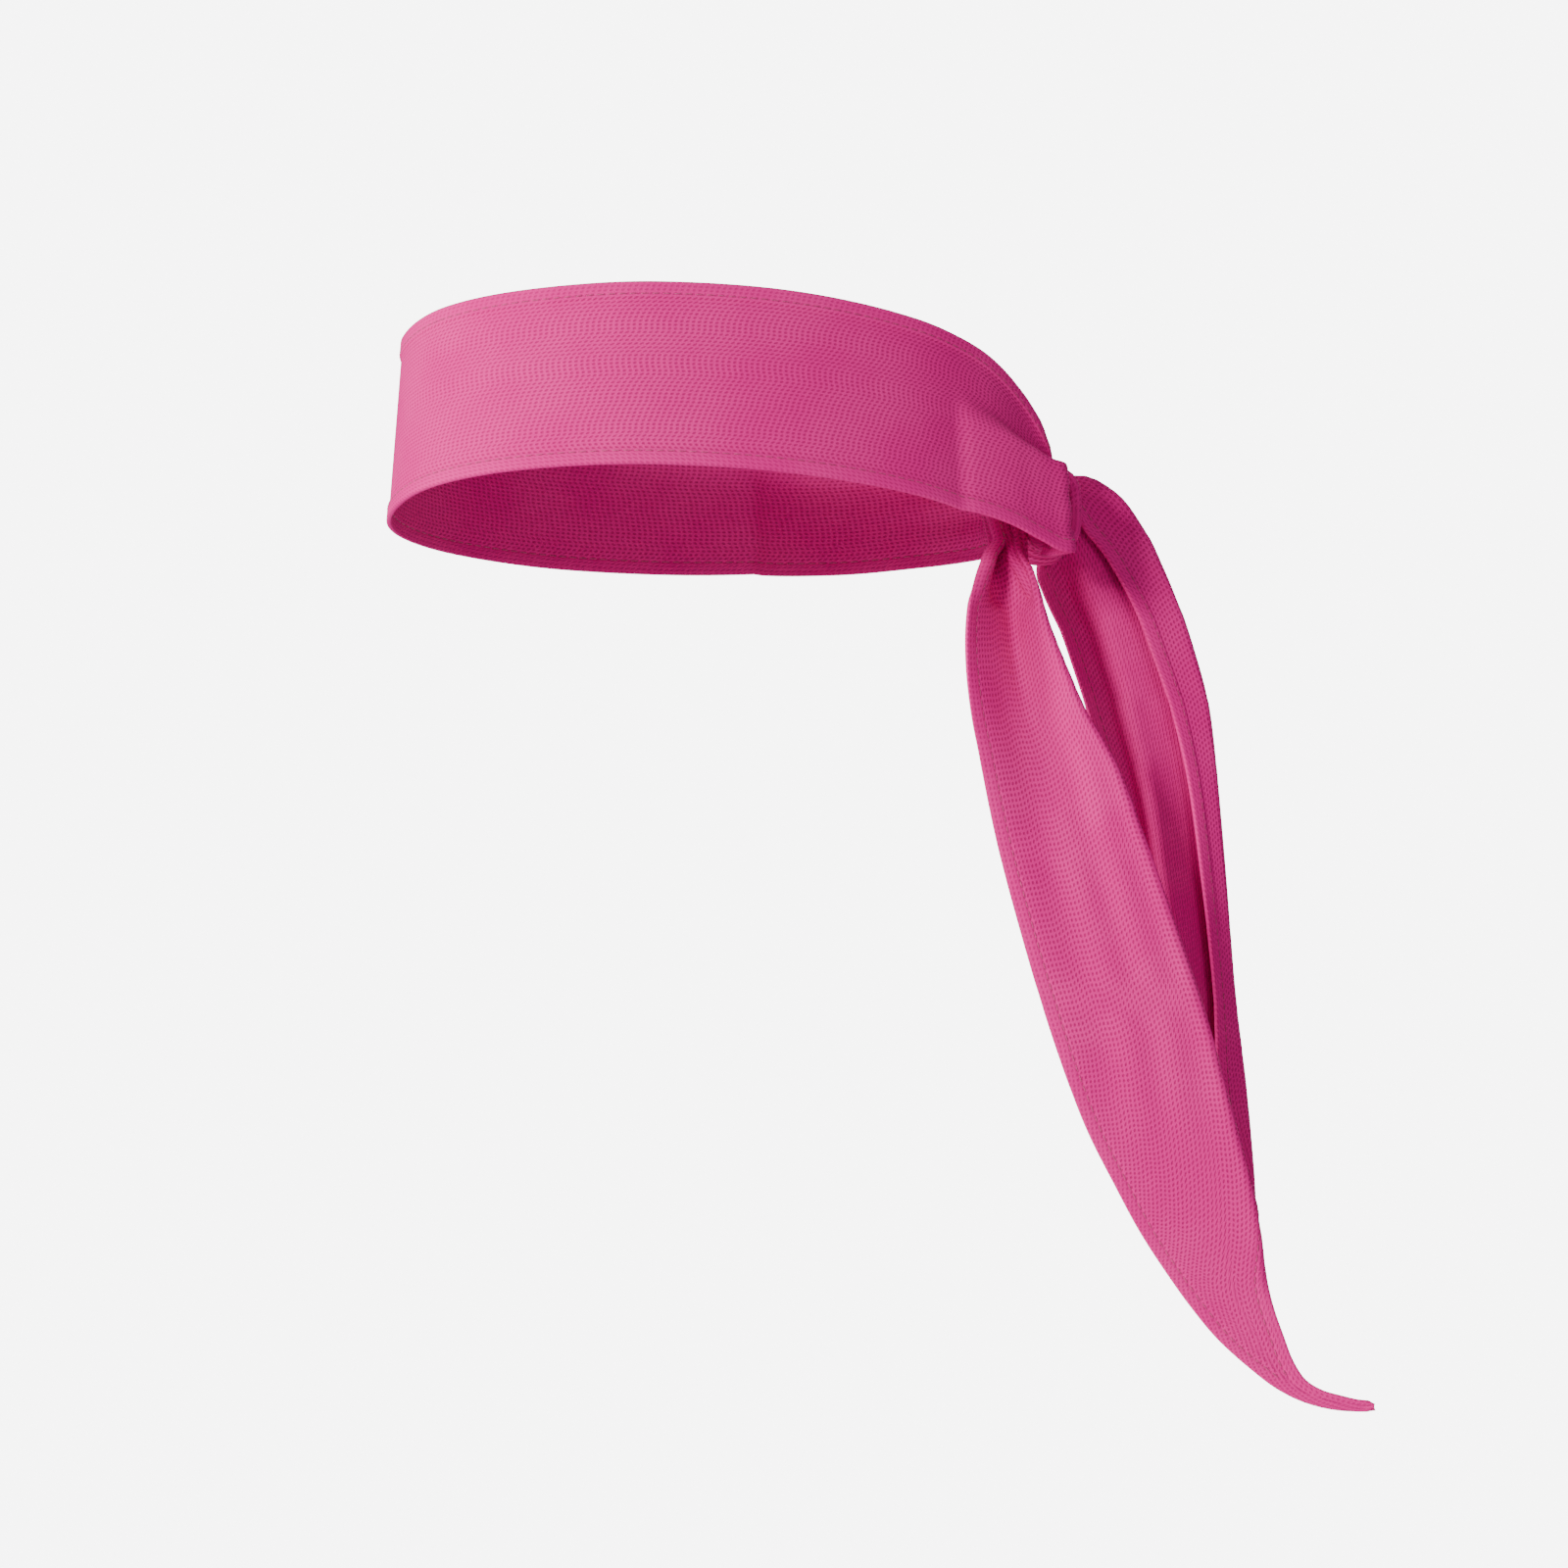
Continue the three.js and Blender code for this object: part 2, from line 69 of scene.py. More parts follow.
# The tails' faces look along OUT, towards the wearer's left and a little forwards. BACK lies in them.
FACE_TURN = math.radians(12)
OUT = np.array([math.cos(FACE_TURN), -math.sin(FACE_TURN), 0.0])
BACK = np.array([math.sin(FACE_TURN), math.cos(FACE_TURN), 0.0])
UP = np.array([0.0, 0.0, 1.0])

# Distances from the strip's edge at which its hem is divided. A strip narrower than HEM_REACH divides it
# finer. RIM is how far the edge itself is rounded.
HEM_COLUMNS = (0, 0.12, 0.35, 0.8, 1.5, 2.4, 3.2, 3.7, 4.0, 4.2, 4.4, 4.8, 5.2, 5.6, 6.4)
HEM_REACH = 14.0
MIDDLE_COLUMNS = 42
RIM = 0.45
RIM_SHARE = 0.2  # of the thickness, left at the very edge
HEM_STEP = 0.7  # how gently the cloth thins where the turned-in layer ends
STITCH_DIMPLE = 0.17  # how deep the stitches draw the cloth in, and how wide
STITCH_DIMPLE_WIDTH = 0.45

# The share of its width that the knit draws in to before it pleats: at the knot, and where a tail hangs
# free of the gathers. The second stands for shallow folds too, which aren't drawn one by one. The gathers
# end GATHERED_TO below the loop's middle and fade over GATHER_FADE.
CLOTH_GIVE = 0.93
HANGING_GIVE = 0.6
MOST_STRETCH = 1.02
GATHERED_TO = 45.0
GATHER_FADE = 35.0
TAIL_PLEAT = 1.5  # width of the tails' pleats against the knot's
HALVINGS = 24  # of a range, when a fold or a cut is fitted to a width
CURVE_DIVISIONS = 3000

# The turn of cloth that holds the knot: its middle, and half its length, depth and height.
KNOT = np.array([0.0, 99.4, -22.0])
KNOT_HALF_LENGTH = 10.0
KNOT_HALF_DEPTH = 6.0
KNOT_HALF_HEIGHT = 10.4
KNOT_SQUARENESS = 3.2
KNOT_STATIONS = 44

# The loop's plan, from the wearer's left side of the knot round the forehead to the other side.
LOOP_PLAN_LEFT = (
    (10.3, 101.2),
    (13.6, 99.6),
    (22.2, 89.6),
    (37.5, 71.6),
    (51.9, 47.5),
    (60.6, 17.2),
    (62.5, -13.0),
    (57.5, -49.3),
    (43.6, -79.2),
    (24.4, -95.4),
)
FOREHEAD = (0.0, -100.4)
LOOP_PLAN_RIGHT_END = ((-13.6, 98.2), (-10.3, 98.6))
LOOP_STEP = 2.2
SIDE_LEAN = math.radians(4)
FOREHEAD_LEAN = math.radians(8)
SIDES_MEET = 60.0  # the length at the forehead over which the left rows give way to the right ones

# Distance from the knot, then the heights of the lower and the upper edge.
LEFT_SIDE_ROWS = (
    (0, -32.0, -12.5),
    (4, -35.8, -8.0),
    (10, -40.0, -1.0),
    (17, -42.0, 6.5),
    (26, -40.0, 12.5),
    (36, -37.2, 17.1),
    (57, -34.1, 22.0),
    (75, -32.7, 24.2),
    (100, -31.4, 26.4),
    (150, -30.2, 27.8),
    (200, -31.0, 26.0),
    (262, -32.6, 23.6),
)
RIGHT_SIDE_ROWS = (
    (0, -31.5, -11.5),
    (5, -31.5, -5.0),
    (12, -29.2, 3.0),
    (22, -27.0, 11.0),
    (45, -26.2, 21.0),
    (70, -27.4, 25.5),
    (100, -28.8, 27.5),
    (150, -30.3, 28.0),
    (200, -31.0, 26.0),
    (262, -32.6, 23.6),
)

# Folds that run along a strip: where across it, how wide the bend is, and how far it turns when closed.
# Near the knot the strands first fold in behind a ridge, below the upper hem, and then tuck the lower hem
# under.
STRAND_RIDGE = ((1.0, 4.0, -165.0), (10.3, 4.0, 165.0))
STRAND_TUCK = (-19.5, 4.5, -170.0)
# A strand's upper hem follows the loop's line, and over CINCH_LENGTH the main face is drawn in to it.
MAIN_FACE = -12.0
CINCH_LENGTH = 13.0

# The left tail. Each row: front edge (back, up), rear edge (back, up), out, then the turns of the valley
# and of the folded rear edge, where that fold is, and the share of the cut that makes the point: 0 leaves
# the strip whole, and 1 cuts its front edge back until the folded cloth is as wide as the row.
LEFT_TAIL_ROWS = (
    ((84.5, -16.0), (91.5, -16.0), -16.0, 60, -60, 4, 0),
    ((82.5, -24.0), (91.5, -24.0), -14.0, 80, -90, 4, 0),
    ((80.0, -32.0), (91.0, -32.0), -9.5, 95, -130, 4, 0),
    ((77.4, -41.0), (91.7, -41.0), -6.0, 105, -150, 4, 0),
    ((75.0, -48.9), (94.0, -48.9), -4.6, 100, -158, 5, 0),
    ((72.9, -61.5), (97.3, -61.5), -3.2, 92, -164, 7, 0),
    ((72.6, -77.2), (103.0, -77.2), -1.9, 75, -166, 10, 0),
    ((73.5, -88.3), (107.6, -88.3), -0.6, 55, -167, 12, 0),
    ((76.4, -105.4), (117.0, -105.4), 1.0, 34, -168, 14, 0),
    ((80.7, -127.4), (125.3, -127.4), 2.7, 12, -168, 16.5, 0),
    ((88.4, -158.6), (135.7, -158.6), 4.8, 4, -168, 17.5, 0),
    ((97.3, -189.4), (145.3, -189.4), 5.4, 0, -166, 18, 0.5),
    ((102.4, -204.9), (149.1, -204.9), 5.8, 0, -164, 19.5, 1),
    ((108.3, -220.3), (153.0, -220.3), 6.0, 0, -162, 21.5, 1),
    ((115.8, -235.7), (156.8, -235.7), 6.2, 0, -158, 24, 1),
    ((123.8, -251.1), (159.6, -251.1), 6.4, 0, -145, 26.5, 1),
    ((131.5, -263.4), (161.0, -263.2), 6.6, 0, -100, 28.5, 1),
    ((139.0, -274.2), (163.4, -273.5), 6.7, 0, -30, 30, 1),
    ((147.0, -284.0), (166.6, -283.2), 6.8, 0, 0, 30, 1),
    ((156.0, -292.3), (169.3, -290.4), 6.8, 0, 0, 30, 1),
    ((163.5, -298.2), (172.8, -295.8), 6.8, 0, 0, 30, 1),
    ((171.0, -302.2), (177.4, -298.8), 6.8, 0, 0, 30, 1),
    ((180.2, -304.8), (183.4, -300.6), 6.8, 0, 0, 30, 1),
    ((187.0, -305.4), (188.4, -301.8), 6.7, 0, 0, 30, 1),
    ((191.6, -305.2), (192.2, -302.4), 6.6, 0, 0, 30, 1),
    ((193.0, -304.6), (193.2, -303.2), 6.6, 0, 0, 30, 1),
)
LEFT_VALLEY = (-8.0, 6.0)
LEFT_FOLD_WIDTH = 4.4

# The right tail, the same way: it turns at a valley, at a ridge and where the rear edge folds forwards.
RIGHT_TAIL_ROWS = (
    ((96.5, -32.5), (98.0, -9.8), -31.5, 40, -40, 90, 13, 0),
    ((95.5, -34.5), (107.0, -4.8), -33.0, 60, -50, 150, 12, 0),
    ((95.0, -38.0), (116.5, -8.8), -34.0, 72, -52, 170, 11, 0),
    ((96.5, -43.0), (126.8, -21.0), -34.3, 76, -52, 175, 12, 0),
    ((98.8, -48.5), (132.8, -33.5), -34.0, 76, -52, 175, 13, 0),
    ((102.1, -56.0), (138.4, -48.0), -33.0, 72, -50, 175, 13.5, 0),
    ((105.0, -65.0), (142.4, -61.5), -31.8, 68, -46, 175, 14, 0),
    ((108.0, -75.0), (145.6, -74.0), -30.4, 64, -44, 175, 14.5, 0),
    ((113.0, -92.0), (148.0, -91.2), -28.8, 62, -44, 174, 15.5, 0),
    ((117.0, -105.0), (149.1, -104.6), -27.6, 62, -46, 174, 16, 0),
    ((122.0, -136.0), (151.5, -135.5), -26.4, 66, -52, 172, 16.5, 0),
    ((126.0, -166.3), (153.6, -166.1), -26.2, 68, -56, 172, 17, 0),
    ((131.0, -205.0), (157.5, -204.6), -26.2, 60, -50, 168, 18, 1),
    ((138.0, -226.0), (158.8, -225.4), -26.2, 20, -16, 164, 22, 1),
    ((146.5, -244.0), (159.6, -243.0), -26.2, 0, 0, 150, 26, 1),
    ((152.5, -254.0), (160.4, -252.6), -26.2, 0, 0, 90, 28.5, 1),
    ((156.6, -260.4), (161.2, -258.4), -26.2, 0, 0, 20, 30, 1),
    ((158.4, -265.0), (162.0, -263.6), -26.2, 0, 0, 0, 30, 1),
    ((160.2, -267.6), (162.4, -266.6), -26.2, 0, 0, 0, 30, 1),
)
RIGHT_VALLEY = (-21.0, 5.0)
RIGHT_RIDGE = (-12.5, 5.0)
RIGHT_FOLD_WIDTH = 4.8

TAIL_STEP = 2.0
# The place across a tail that stays on the row's line, or this far from its front edge once that is cut.
TAIL_LINE = -4.0
CUT_LINE = 2.0
TIP_WIDTH = 3.0  # the least width that a cut leaves

# Each tail's sections: the height of its lower end, the body above it, from where to where it bends from
# that body to its own, its flat size in metres, its area once the point is cut, and how it is held.
LEFT_TAIL_SECTIONS = (
    ("throat", -53.0, "band", (-6.1, 85.8, -37.0), (-6.1, 85.8, -48.0), (0.06, 0.04), None, "gathered"),
    ("upper", -132.0, "left_throat", (-3, 84, -55), (-3, 84, -68), (0.06, 0.084), None, "hung"),
    ("lower", None, "left_upper", (5, 112, -148), (5, 112, -166), (0.06, 0.195), 0.0078, "hung"),
)
RIGHT_TAIL_SECTIONS = (
    ("throat", -43.5, "band", (-35.3, 97, -22), (-35.3, 104.5, -32), (0.06, 0.03), None, "gathered"),
    ("upper", -104.0, "right_throat", (-34, 116, -44), (-34, 116, -55), (0.06, 0.077), None, "hung"),
    ("lower", None, "right_upper", (-26, 137, -125), (-26, 137, -143), (0.06, 0.165), 0.0074, "hung"),
)


# ---- Settings ------------------------------------------------------------------------------------


class HeadbandCloth(bpy.types.PropertyGroup):
    """Sizes and colour of the mesh cloth"""

    width: bpy.props.FloatProperty(
        name="Strip Width", description="Finished width, hem to hem", default=0.06, unit="LENGTH"
    )
    thickness: bpy.props.FloatProperty(
        name="Thickness", description="One layer of cloth", default=0.0009, precision=5,
        unit="LENGTH",
    )
    hem_width: bpy.props.FloatProperty(
        name="Hem Width", description="How far the edges are turned in", default=0.005, unit="LENGTH"
    )
    hem_thickness: bpy.props.FloatProperty(
        name="Hem Thickness", description="The turned-in layer", default=0.0006, precision=5,
        unit="LENGTH",
    )
    pleat: bpy.props.FloatProperty(
        name="Pleat", description="Cloth taken up by one pleat of the gathers", default=0.0105,
        unit="LENGTH",
    )
    hole_spacing: bpy.props.FloatProperty(
        name="Hole Spacing", description="Between holes of the mesh, along the strip", default=0.00176,
        precision=5, unit="LENGTH",
    )
    row_spacing: bpy.props.FloatProperty(
        name="Row Spacing", description="Between rows of holes, across the strip", default=0.00126,
        precision=5, unit="LENGTH",
    )
    colour: bpy.props.FloatVectorProperty(
        name="Cloth Colour", description="Colour of the yarn", subtype="COLOR", size=3, min=0, max=1,
        default=(0.62, 0.005, 0.20),
    )
    # Painted shade: the holes of the knit are coloured darker because shade falls down in them, not
    # because the yarn there differs.
    hole_shade_colour: bpy.props.FloatVectorProperty(
        name="Hole Colour", description="Colour down in the holes of the mesh", subtype="COLOR", size=3,
        min=0, max=1, default=(0.26, 0.003, 0.066),
    )


class HeadbandStitching(bpy.types.PropertyGroup):
    """Sizes and colour of the sewing"""

    inset: bpy.props.FloatProperty(
        name="Inset", description="From the edge to the row of stitches", default=0.0042, unit="LENGTH"
    )
    pitch: bpy.props.FloatProperty(
        name="Pitch", description="From one stitch to the next", default=0.0033, unit="LENGTH"
    )
    length: bpy.props.FloatProperty(
        name="Stitch Length", description="Thread showing in one stitch", default=0.0026, unit="LENGTH"
    )
    thread: bpy.props.FloatProperty(
        name="Thread", description="Thickness of the thread", default=0.0004, precision=5, unit="LENGTH"
    )
    colour: bpy.props.FloatVectorProperty(
        name="Thread Colour", description="Colour of the thread", subtype="COLOR", size=3, min=0, max=1,
        default=(0.46, 0.007, 0.14),
    )


class HeadbandStage(bpy.types.PropertyGroup):
    """Camera, lights and floor"""

    azimuth: bpy.props.FloatProperty(
        name="Azimuth", description="Camera's place round the wearer's left", default=math.radians(78),
        subtype="ANGLE",
    )
    elevation: bpy.props.FloatProperty(
        name="Elevation", description="Camera's height as an angle", default=math.radians(-14),
        subtype="ANGLE",
    )
    distance: bpy.props.FloatProperty(
        name="Distance", description="Camera to the middle of the picture", default=4.0, unit="LENGTH"
    )
    frame_width: bpy.props.FloatProperty(
        name="Frame Width", description="Width of the picture at that distance", default=0.4762,
        unit="LENGTH",
    )
    floor_height: bpy.props.FloatProperty(
        name="Floor Height", description="Height of the floor", default=-1.2, unit="LENGTH"
    )
    surround_light: bpy.props.FloatProperty(
        name="Surround Light", description="Even light on the object from all round", default=0.2
    )
    backdrop_light: bpy.props.FloatProperty(
        name="Backdrop Light", description="Brightness of the backdrop itself", default=7.0
    )
    floor_colour: bpy.props.FloatVectorProperty(
        name="Floor Colour", description="Colour of the floor", subtype="COLOR", size=3, min=0, max=1,
        default=(0.9, 0.9, 0.9),
    )


# ---- Cloth ---------------------------------------------------------------------------------------


def vector_of(values):
    return Vector([float(v) for v in values])


def smooth(x):
    """Rises from 0 to 1 as x does, level at both ends."""
    x = np.clip(x, 0.0, 1.0)
    return x * x * (3.0 - 2.0 * x)


def read_rows(rows, places):
    """Smooth curves through rows of (place, value, ...), read at many places."""
    rows = np.asarray(rows, float)
    knots = rows[:, 0]
    values = rows[:, 1:]
    slopes = np.gradient(values, knots, axis=0)
    i = np.clip(np.searchsorted(knots, places) - 1, 0, len(knots) - 2)
    span = (knots[i + 1] - knots[i])[:, None]
    x = (np.clip(places, knots[0], knots[-1])[:, None] - knots[i][:, None]) / span
    x2 = x * x
    x3 = x2 * x
    start = values[i] * (2 * x3 - 3 * x2 + 1) + slopes[i] * span * (x3 - 2 * x2 + x)
    end = values[i + 1] * (3 * x2 - 2 * x3) + slopes[i + 1] * span * (x3 - x2)
    return start + end


def curve_points(points, step):
    """Points about step apart on a smooth curve through a few, and the directions along it."""
    points = np.asarray(points, float)
    chords = np.linalg.norm(np.diff(points, axis=0), axis=1)
    knots = np.concatenate([[0.0], np.cumsum(np.sqrt(chords))])
    fine = np.linspace(0.0, knots[-1], CURVE_DIVISIONS)
    dense = read_rows(np.column_stack([knots, points]), fine)
    lengths = np.concatenate([[0.0], np.cumsum(np.linalg.norm(np.diff(dense, axis=0), axis=1))])
    count = max(int(round(lengths[-1] / step)), 2)
    places = np.linspace(0.0, lengths[-1], count + 1)
    even = np.column_stack([np.interp(places, lengths, dense[:, k]) for k in range(points.shape[1])])
    directions = np.gradient(even, axis=0)
    directions /= np.linalg.norm(directions, axis=1)[:, None]
    return even, directions, places


def columns_between(start, end):
    """Places across the strip from one edge to the other, closer together where it is hemmed."""
    edge = np.array(HEM_COLUMNS) * min(1.0, (end - start) / HEM_REACH)
    middle = np.linspace(start + edge[-1], end - edge[-1], MIDDLE_COLUMNS)[1:-1]
    return np.concatenate([start + edge, middle, (end - edge)[::-1]])


def bend_section(across, angles):
    """The cross-section whose direction turns by the given angles: (along its chord, out of it)."""
    middle = (angles[1:] + angles[:-1]) / 2
    step = np.diff(across)
    w = np.concatenate([[0.0], np.cumsum(np.cos(middle) * step)])
    n = np.concatenate([[0.0], np.cumsum(np.sin(middle) * step)])
    return w, n


def pleat_wave(across, pleat):
    """A wave of even pleats whose spacing wanders a little, as gathers do."""
    return np.sin(2 * math.pi * across / pleat + 0.9 * np.sin(across / 7.3) + 0.5)


def fold_angles(across, folds, lean):
    """The direction of each place of a cross-section that starts at lean and is folded."""
    angles = np.full(len(across), lean)
    for place, width, turn in folds:
        angles = angles + math.radians(turn) * smooth((across - place) / width + 0.5)
    return angles


def gathered_section(across, folds, lean, extent, pleat, give=CLOTH_GIVE):
    """The folded cross-section, drawn in as far as give and then pleated until it is as wide as extent."""
    angles = fold_angles(across, folds, lean)
    wave = pleat_wave(across, pleat)
    w, n = bend_section(across, angles)
    give = np.clip(extent / np.ptp(w), give, MOST_STRETCH)
    low = 0.0
    high = 2.0
    for _ in range(HALVINGS):
        depth = (low + high) / 2
        w, n = bend_section(across, angles + depth * wave)
        if np.ptp(w) * give > extent:
            low = depth
        else:
            high = depth
    w, n = bend_section(across, angles + low * wave)
    return (w - w.min()) * give, n


def cut_place(half_width, folds, lean, extent):
    """Where the strip's front edge is cut, so that the folded cloth behind it is as wide as extent."""
    low = -half_width
    high = half_width - TIP_WIDTH
    for _ in range(HALVINGS):
        middle = (low + high) / 2
        columns = columns_between(middle, half_width)
        w, _ = bend_section(columns, fold_angles(columns, folds, lean))
        if np.ptp(w) > extent:
            low = middle
        else:
            high = middle
    return low


def strand_section(across, extent, pleat):
    """The cross-section of a strand: its ridge closes first, then its tuck, and pleats take the rest."""
    low = 0.0
    high = 2.0
    for _ in range(HALVINGS):
        closed = (low + high) / 2
        folds, lean = strand_folds(closed)
        w, _ = bend_section(across, fold_angles(across, folds, lean))
        if np.ptp(w) * CLOTH_GIVE > extent:
            low = closed
        else:
            high = closed
    folds, lean = strand_folds(low)
    return gathered_section(across, folds, lean, extent, pleat)


def strand_folds(closed):
    """The folds of a strand, and the direction of its lower edge, as closed goes from 0 to 2."""
    ridge_share = min(closed, 1.0)
    tuck_share = max(closed - 1.0, 0.0)
    tuck_place, tuck_width, tuck_turn = STRAND_TUCK
    folds = [(tuck_place, tuck_width, tuck_turn * tuck_share)]
    for place, width, turn in STRAND_RIDGE:
        folds.append((place, width, turn * ridge_share))
    return folds, -math.radians(tuck_turn) * tuck_share


class Strip:
    """A length of the cloth: a grid of middle points, with its faces, edges and measured lengths."""

    def __init__(self, points, across, cloth, closed=False):
        self.points = points
        self.across = across
        self.closed = closed
        self.edge = np.minimum(across - across[:, :1], across[:, -1:] - across)
        self.cloth = cloth
        along = self.slope_along(points)
        sideways = np.gradient(points, axis=1)
        normals = np.cross(along, sideways)
        self.normals = normals / np.linalg.norm(normals, axis=2)[:, :, None]
        steps = np.linalg.norm(np.diff(points, axis=0), axis=2)
        self.along = np.vstack([np.zeros(points.shape[1]), np.cumsum(steps, axis=0)])
        self.outer = points + self.normals * self.face_height(False)[:, :, None]
        self.inner = points - self.normals * self.face_height(True)[:, :, None]

    def slope_along(self, points):
        if self.closed:
            return np.roll(points, -1, axis=0) - np.roll(points, 1, axis=0)
        return np.gradient(points, axis=0)

    def face_height(self, is_inner):
        """From the middle of the cloth to its face, thinned at the rim and under the stitches."""
        half = self.cloth["thickness"] / 2
        height = np.full(self.edge.shape, half)
        if is_inner:
            turned_in = 1 - smooth((self.edge - self.cloth["hem_width"]) / HEM_STEP + 0.5)
            height = height + self.cloth["hem_thickness"] * turned_in
        drawn_in = np.exp(-(((self.edge - self.cloth["inset"]) / STITCH_DIMPLE_WIDTH) ** 2))
        rim = 1 - np.clip(self.edge / RIM, 0, 1)
        rounded = RIM_SHARE + (1 - RIM_SHARE) * np.sqrt(1 - rim**2)
        return (height - STITCH_DIMPLE * drawn_in) * rounded

    def part(self, first, last):
        """The same cloth between two of its stations."""
        piece = copy.copy(self)
        for name in ("points", "across", "edge", "normals", "along", "outer", "inner"):
            setattr(piece, name, getattr(self, name)[first : last + 1])
        return piece


def cloth_sizes(context):
    """The cloth's and the stitching's sizes in millimetres."""
    cloth = context.scene.headband_cloth
    stitching = context.scene.headband_stitching
    return {
        "half_width": cloth.width / 2 / MM,
        "thickness": cloth.thickness / MM,
        "hem_width": cloth.hem_width / MM,
        "hem_thickness": cloth.hem_thickness / MM,
        "pleat": cloth.pleat / MM,
        "inset": stitching.inset / MM,
        "pitch": stitching.pitch / MM,
        "stitch": stitching.length / MM,
        "thread": stitching.thread / MM,
    }


def strip_faces(rows, columns, closed):
    """Quads of a closed sheet: both faces with both long edges, and both ends unless it closes."""
    i, j = np.meshgrid(np.arange(rows if closed else rows - 1), np.arange(columns - 1), indexing="ij")
    following = (i + 1) % rows
    below = rows * columns
    a = i * columns + j
    b = following * columns + j
    outer = np.stack([a, b, b + 1, a + 1], axis=-1).reshape(-1, 4)
    inner = outer[:, ::-1] + below
    start = np.arange(rows if closed else rows - 1) * columns
    end = ((np.arange(len(start)) + 1) % rows) * columns
    left = np.stack([end, start, start + below, end + below], axis=-1)
    last = columns - 1
    right = np.stack([start, end, end + below, start + below], axis=-1) + last
    sides = np.vstack([outer, inner, left, right])
    if closed:
        return sides, np.empty((0, 4), int)
    k = np.arange(columns - 1)
    first_cap = np.stack([k, k + 1, k + 1 + below, k + below], axis=-1)
    last_cap = first_cap[:, ::-1] + (rows - 1) * columns
    return sides, np.vstack([first_cap, last_cap])


def mesh_object(name, vertices, faces):
    mesh = bpy.data.meshes.new(name)
    mesh.from_pydata((np.asarray(vertices) * MM).tolist(), [], faces.tolist())
    mesh.update()
    obj = bpy.data.objects.new(name, mesh)
    bpy.context.scene.collection.objects.link(obj)
    return obj


def sharpen_ends(mesh, first_cap):
    """Marks the edges of a strip's end faces as sharp, so that they don't shade the cloth beside."""
    edges = np.empty(len(mesh.loops), int)
    mesh.loops.foreach_get("edge_index", edges)
    is_sharp = np.zeros(len(mesh.edges), bool)
    is_sharp[edges[4 * first_cap :]] = True
    mesh.attributes.new("sharp_edge", "BOOLEAN", "EDGE").data.foreach_set("value", is_sharp)


def cloth_object(name, strip, material):
    """The strip as one closed sheet, with lengths as its UV and an attribute of distance to the edge."""
    rows, columns = strip.edge.shape
    sides, caps = strip_faces(rows, columns, strip.closed)
    vertices = np.vstack([strip.outer.reshape(-1, 3), strip.inner.reshape(-1, 3)])
    faces = np.vstack([sides, caps])
    obj = mesh_object(name, vertices, faces)
    mesh = obj.data
    shading = np.ones(len(faces), bool)
    shading[len(sides) :] = False
    mesh.polygons.foreach_set("use_smooth", shading)
    sharpen_ends(mesh, len(sides))
    corners = np.empty(len(mesh.loops), int)
    mesh.loops.foreach_get("vertex_index", corners)
    lengths = np.column_stack([strip.along.ravel(), strip.across.ravel()]) * MM
    uv = mesh.uv_layers.new(name="ClothLength")
    uv.data.foreach_set("uv", np.vstack([lengths, lengths])[corners].astype(np.float32).ravel())
    edge = mesh.attributes.new("edge_mm", "FLOAT", "POINT")
    edge.data.foreach_set("value", np.tile(strip.edge.ravel(), 2).astype(np.float32))
    mesh.materials.append(material)
    return obj


# One stitch's rings: how far along it, how high above the cloth in threads, and how thick.
# A strip is sewn where it is wider than LEAST_SEWN insets.
STITCH_RINGS = ((-0.5, -0.25, 0.5), (-0.28, 0.18, 1.0), (0.28, 0.18, 1.0), (0.5, -0.25, 0.5))
STITCH_SIDES = 6
LEAST_SEWN = 2.4


def edge_line(strip, from_end, is_inner):
    """Points and outward normals of the line of stitches beside one edge, on one face."""
    sizes = strip.cloth
    face = strip.inner if is_inner else strip.outer
    normals = -strip.normals if is_inner else strip.normals
    points = np.empty((len(face), 3))
    outward = np.empty((len(face), 3))
    for i, places in enumerate(strip.across):
        at = places[-1] - sizes["inset"] if from_end else places[0] + sizes["inset"]
        for k in range(3):
            points[i, k] = np.interp(at, places, face[i, :, k])
            outward[i, k] = np.interp(at, places, normals[i, :, k])
    wide = strip.across[:, -1] - strip.across[:, 0] > LEAST_SEWN * sizes["inset"]
    return points[wide], outward[wide]


def stitch_rings(strip, from_end, is_inner):
    """Rings of points of every stitch on one line: arrays of stitch, ring and point."""
    sizes = strip.cloth
    points, outward = edge_line(strip, from_end, is_inner)
    if len(points) < 3:
        return np.empty((0, len(STITCH_RINGS), STITCH_SIDES, 3))
    lengths = np.concatenate([[0.0], np.cumsum(np.linalg.norm(np.diff(points, axis=0), axis=1))])
    centres = np.arange(sizes["pitch"] / 2, lengths[-1] - sizes["pitch"] / 2, sizes["pitch"])
    if not len(centres):
        return np.empty((0, len(STITCH_RINGS), STITCH_SIDES, 3))
    shares = np.array([ring[0] for ring in STITCH_RINGS])
    places = centres[:, None] + shares[None, :] * sizes["stitch"]
    path = np.stack([np.interp(places, lengths, points[:, k]) for k in range(3)], axis=-1)
    normal = np.stack([np.interp(places, lengths, outward[:, k]) for k in range(3)], axis=-1)
    normal /= np.linalg.norm(normal, axis=-1)[..., None]
    forward = (path[:, -1] - path[:, 0])[:, None, :]
    side = np.cross(forward, normal)
    side /= np.linalg.norm(side, axis=-1)[..., None]
    lift = np.array([ring[1] for ring in STITCH_RINGS])[None, :, None] * sizes["thread"]
    radius = np.array([ring[2] for ring in STITCH_RINGS])[None, :, None, None] * sizes["thread"] / 2
    angle = 2 * math.pi * np.arange(STITCH_SIDES) / STITCH_SIDES
    around = (
        side[:, :, None, :] * np.cos(angle)[None, None, :, None]
        + normal[:, :, None, :] * np.sin(angle)[None, None, :, None]
    )
    return (path + normal * lift)[:, :, None, :] + around * radius


